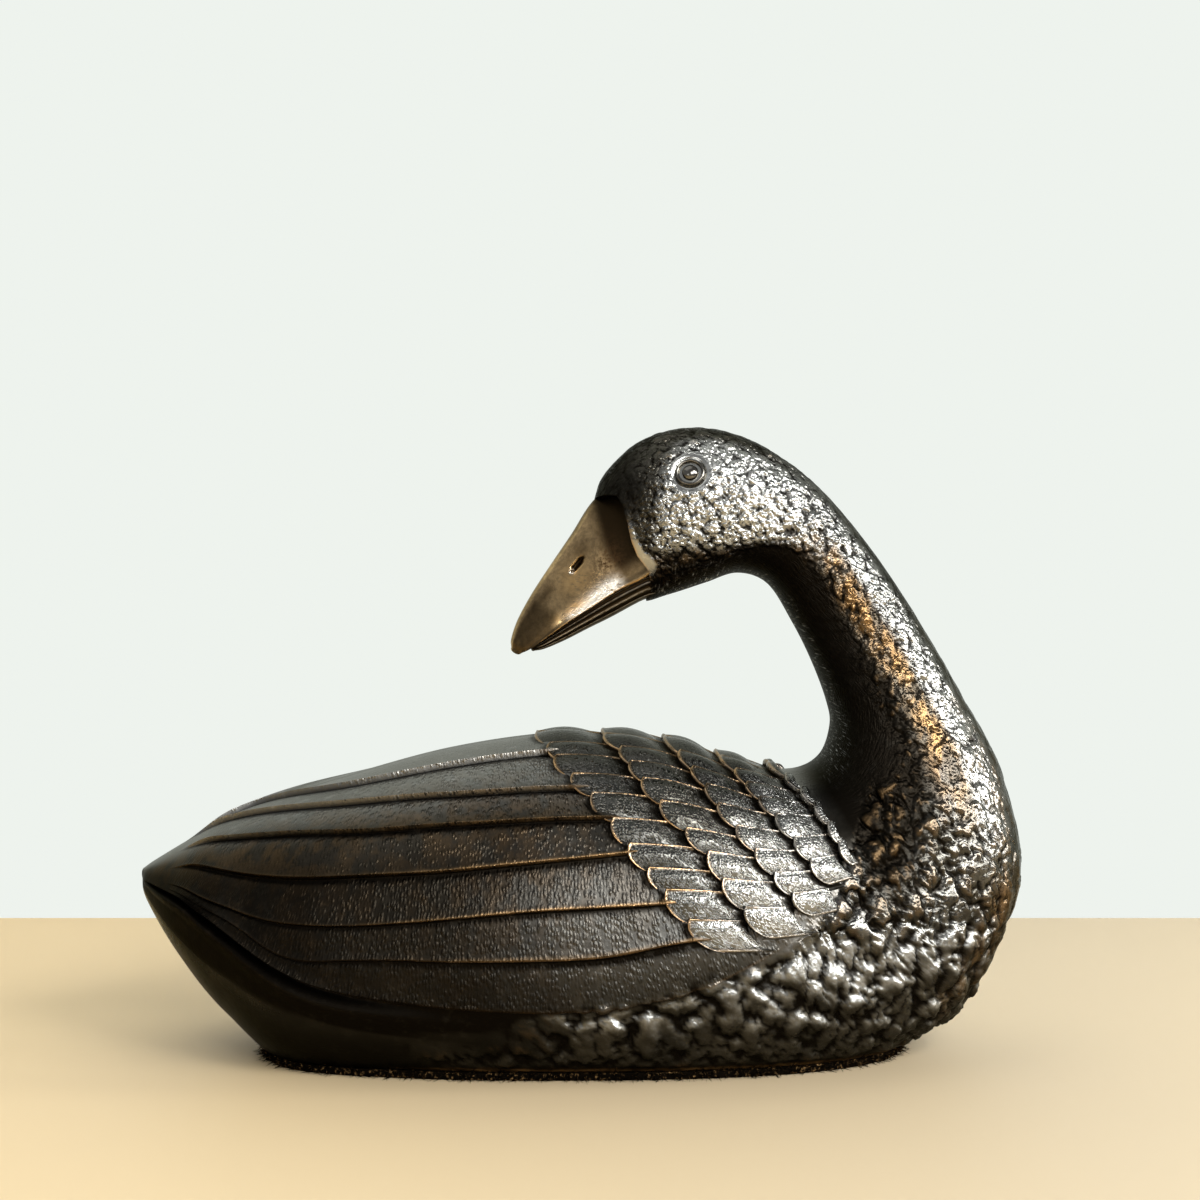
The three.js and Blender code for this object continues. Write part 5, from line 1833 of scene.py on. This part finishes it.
@dataclass
class Studio:
    """Camera, floor, wall and soft lamps."""

    eye: tuple = (0.0071, -0.720, 0.163)
    lens: float = 59.0
    wall: float = 0.288
    wall_colour: tuple = (0.855, 0.895, 0.85, 1.0)
    floor_left: tuple = (0.65, 0.495, 0.275, 1.0)
    floor_right: tuple = (0.415, 0.335, 0.218, 1.0)
    reach: float = 3.0
    wall_height: float = 2.4
    aim: tuple = (0.02, 0, 0.1)
    white: tuple = (1.0, 1.0, 1.0)
    cool: tuple = (0.97, 0.98, 1.0)

    def camera(self) -> None:
        """Makes the camera at the photograph's place."""
        data = bpy.data.cameras.new("camera")
        data.lens = self.lens
        data.sensor_width = 36.0
        camera = bpy.data.objects.new("camera", data)
        camera.location = self.eye
        camera.rotation_euler = (math.pi / 2, 0, 0)
        bpy.context.scene.collection.objects.link(camera)
        bpy.context.scene.camera = camera

    def sheet(self, name: str, corners: list, material: bpy.types.Material) -> None:
        """Makes a flat stage sheet."""
        make_piece(name, np.array(corners, float), [[0, 1, 2, 3]], material)

    def surfaces(self) -> None:
        """Makes the pale floor and the pale wall behind it."""
        floor, w, shader = new_material("pale_floor")
        across = w.ramp(w.parts(w.place())["X"], -0.32, 0.2)
        colour = w.mix(across, self.floor_left, self.floor_right)
        w.fill(shader, {"Base Color": colour, "Roughness": 0.6})
        wall, w, shader = new_material("pale_wall")
        w.fill(shader, {"Base Color": self.wall_colour, "Roughness": 0.9})
        # The camera and mirrors see an even wall, and light passes through it from behind.
        rays = w.add("ShaderNodeLightPath").outputs
        seen = w.plus(rays["Is Camera Ray"], rays["Is Glossy Ray"], clamp=True)
        seen = w.plus(seen, rays["Is Transmission Ray"], clamp=True)
        plain = w.add("ShaderNodeEmission", Color=self.wall_colour, Strength=1.0)
        face = w.add("ShaderNodeMixShader")
        w.fill(face, {0: seen, 1: shader.outputs[0], 2: plain.outputs[0]})
        behind = w.add("ShaderNodeNewGeometry").outputs["Backfacing"]
        both = w.add("ShaderNodeMixShader")
        clear = w.add("ShaderNodeBsdfTransparent")
        w.fill(both, {0: behind, 1: face.outputs[0], 2: clear.outputs[0]})
        w.feed(wall.node_tree.nodes["Material Output"].inputs["Surface"], both.outputs[0])
        r, y, top = self.reach, self.wall, self.wall_height
        self.sheet("floor", [[-r, -r, 0], [r, -r, 0], [r, r, 0], [-r, r, 0]], floor)
        self.sheet("backdrop", [[-r, y, 0], [r, y, 0], [r, y, top], [-r, y, top]], wall)

    def lamp(self, name: str, size: tuple, power: float, at: tuple, colour: tuple) -> None:
        """Makes an area lamp that looks at the bird.

        Args:
            name: its name.
            size: width and height in metres.
            power: its power in watts.
            at: its place.
            colour: its colour.
        """
        data = bpy.data.lights.new(name, "AREA")
        data.shape = "RECTANGLE"
        data.size, data.size_y = size
        data.energy = power
        data.color = colour
        lamp = bpy.data.objects.new(name, data)
        lamp.location = at
        aim = Vector(self.aim) - Vector(at)
        lamp.rotation_euler = aim.to_track_quat("-Z", "Y").to_euler()
        bpy.context.scene.collection.objects.link(lamp)

    def lights(self) -> None:
        """Makes the lamps and the dim room light."""
        self.lamp("window_near", (0.46, 0.4), 7.5, (0.24, -1.14, 0.62), self.white)
        self.lamp("strip", (0.3, 0.2), 0.9, (-0.5, -1.04, 0.33), self.white)
        self.lamp("window_front", (0.42, 0.4), 12.5, (0.62, -0.90, 0.74), self.white)
        self.lamp("window_middle", (0.34, 0.4), 7.5, (0.98, -0.60, 0.54), self.white)
        self.lamp("window_side", (0.26, 0.5), 8.5, (1.17, -0.12, 0.38), self.white)
        self.lamp("ceiling", (1.5, 1.3), 5.0, (-0.45, -0.1, 1.45), self.cool)
        world = bpy.data.worlds.new("room")
        world.use_nodes = True
        bpy.context.scene.world = world
        w = Wires(world.node_tree)
        way = w.parts(w.add("ShaderNodeTexCoord").outputs["Generated"])
        to_left = w.ramp(way["X"], -0.9, 0.2, 0.42, 0.1)
        upward = w.ramp(way["Z"], 0.1, 1.0, 0.0, 0.15)
        light = {"Color": (*self.cool, 1), "Strength": w.plus(to_left, upward)}
        w.fill(world.node_tree.nodes["Background"], light)

    def build(self) -> None:
        """Sets the stage."""
        self.camera()
        self.surfaces()
        self.lights()
        bpy.context.scene.view_settings.view_transform = "Standard"


def corners(box: tuple) -> list[list[float]]:
    """A pair of corners as plain lists."""
    return [[float(x) for x in corner] for corner in box]


def main() -> None:
    """Builds the duck and its stage, piece by piece."""
    logging.basicConfig(level=logging.INFO, format="%(message)s")
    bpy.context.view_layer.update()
    Studio().build()
    grain, wear = grain_group(), wear_group()
    bronze = BronzeFinish("patinated_bronze_chased").material(grain, wear)
    polished = PolishedFinish("polished_bronze_rubbed").material(wear)
    eye, plate, screw = (
        PolishedFinish(name, bright=bright, dark=dark, roughness=roughness)
        for name, bright, dark, roughness in (
            ("eye_bronze_burnished", (0.17, 0.16, 0.14, 1), (0.03, 0.027, 0.024, 1), 0.14),
            ("plate_brass_tarnished", (0.6, 0.44, 0.2, 1), (0.26, 0.18, 0.08, 1), 0.4),
            ("screw_brass_turned", (0.68, 0.52, 0.26, 1), (0.3, 0.22, 0.1, 1), 0.32),
        )
    )
    felt = FeltFinish("black_wool_felt").material()
    pieces = Castings().build(bronze)
    pieces.append(MANTLE.build(bronze))
    pieces += Bill().build(polished)
    pieces += Eyes().build(eye.material(wear))
    pieces.append(FeltPad().build(felt))
    for piece in pieces:
        LOG.info("%s: %d faces", piece.name, len(piece.data.polygons))
    # The CAD pieces that nothing replaces keep their shape and get a finish.
    metals = {
        "closing_plate": plate.material(wear),
        "plate_screw": screw.material(wear),
        "neck_pin": bronze,
    }
    for name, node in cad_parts.items():
        for start, metal in metals.items():
            if name.startswith(start):
                for slot in node.material_slots:
                    slot.material = metal


if __name__ == "__main__":
    main()
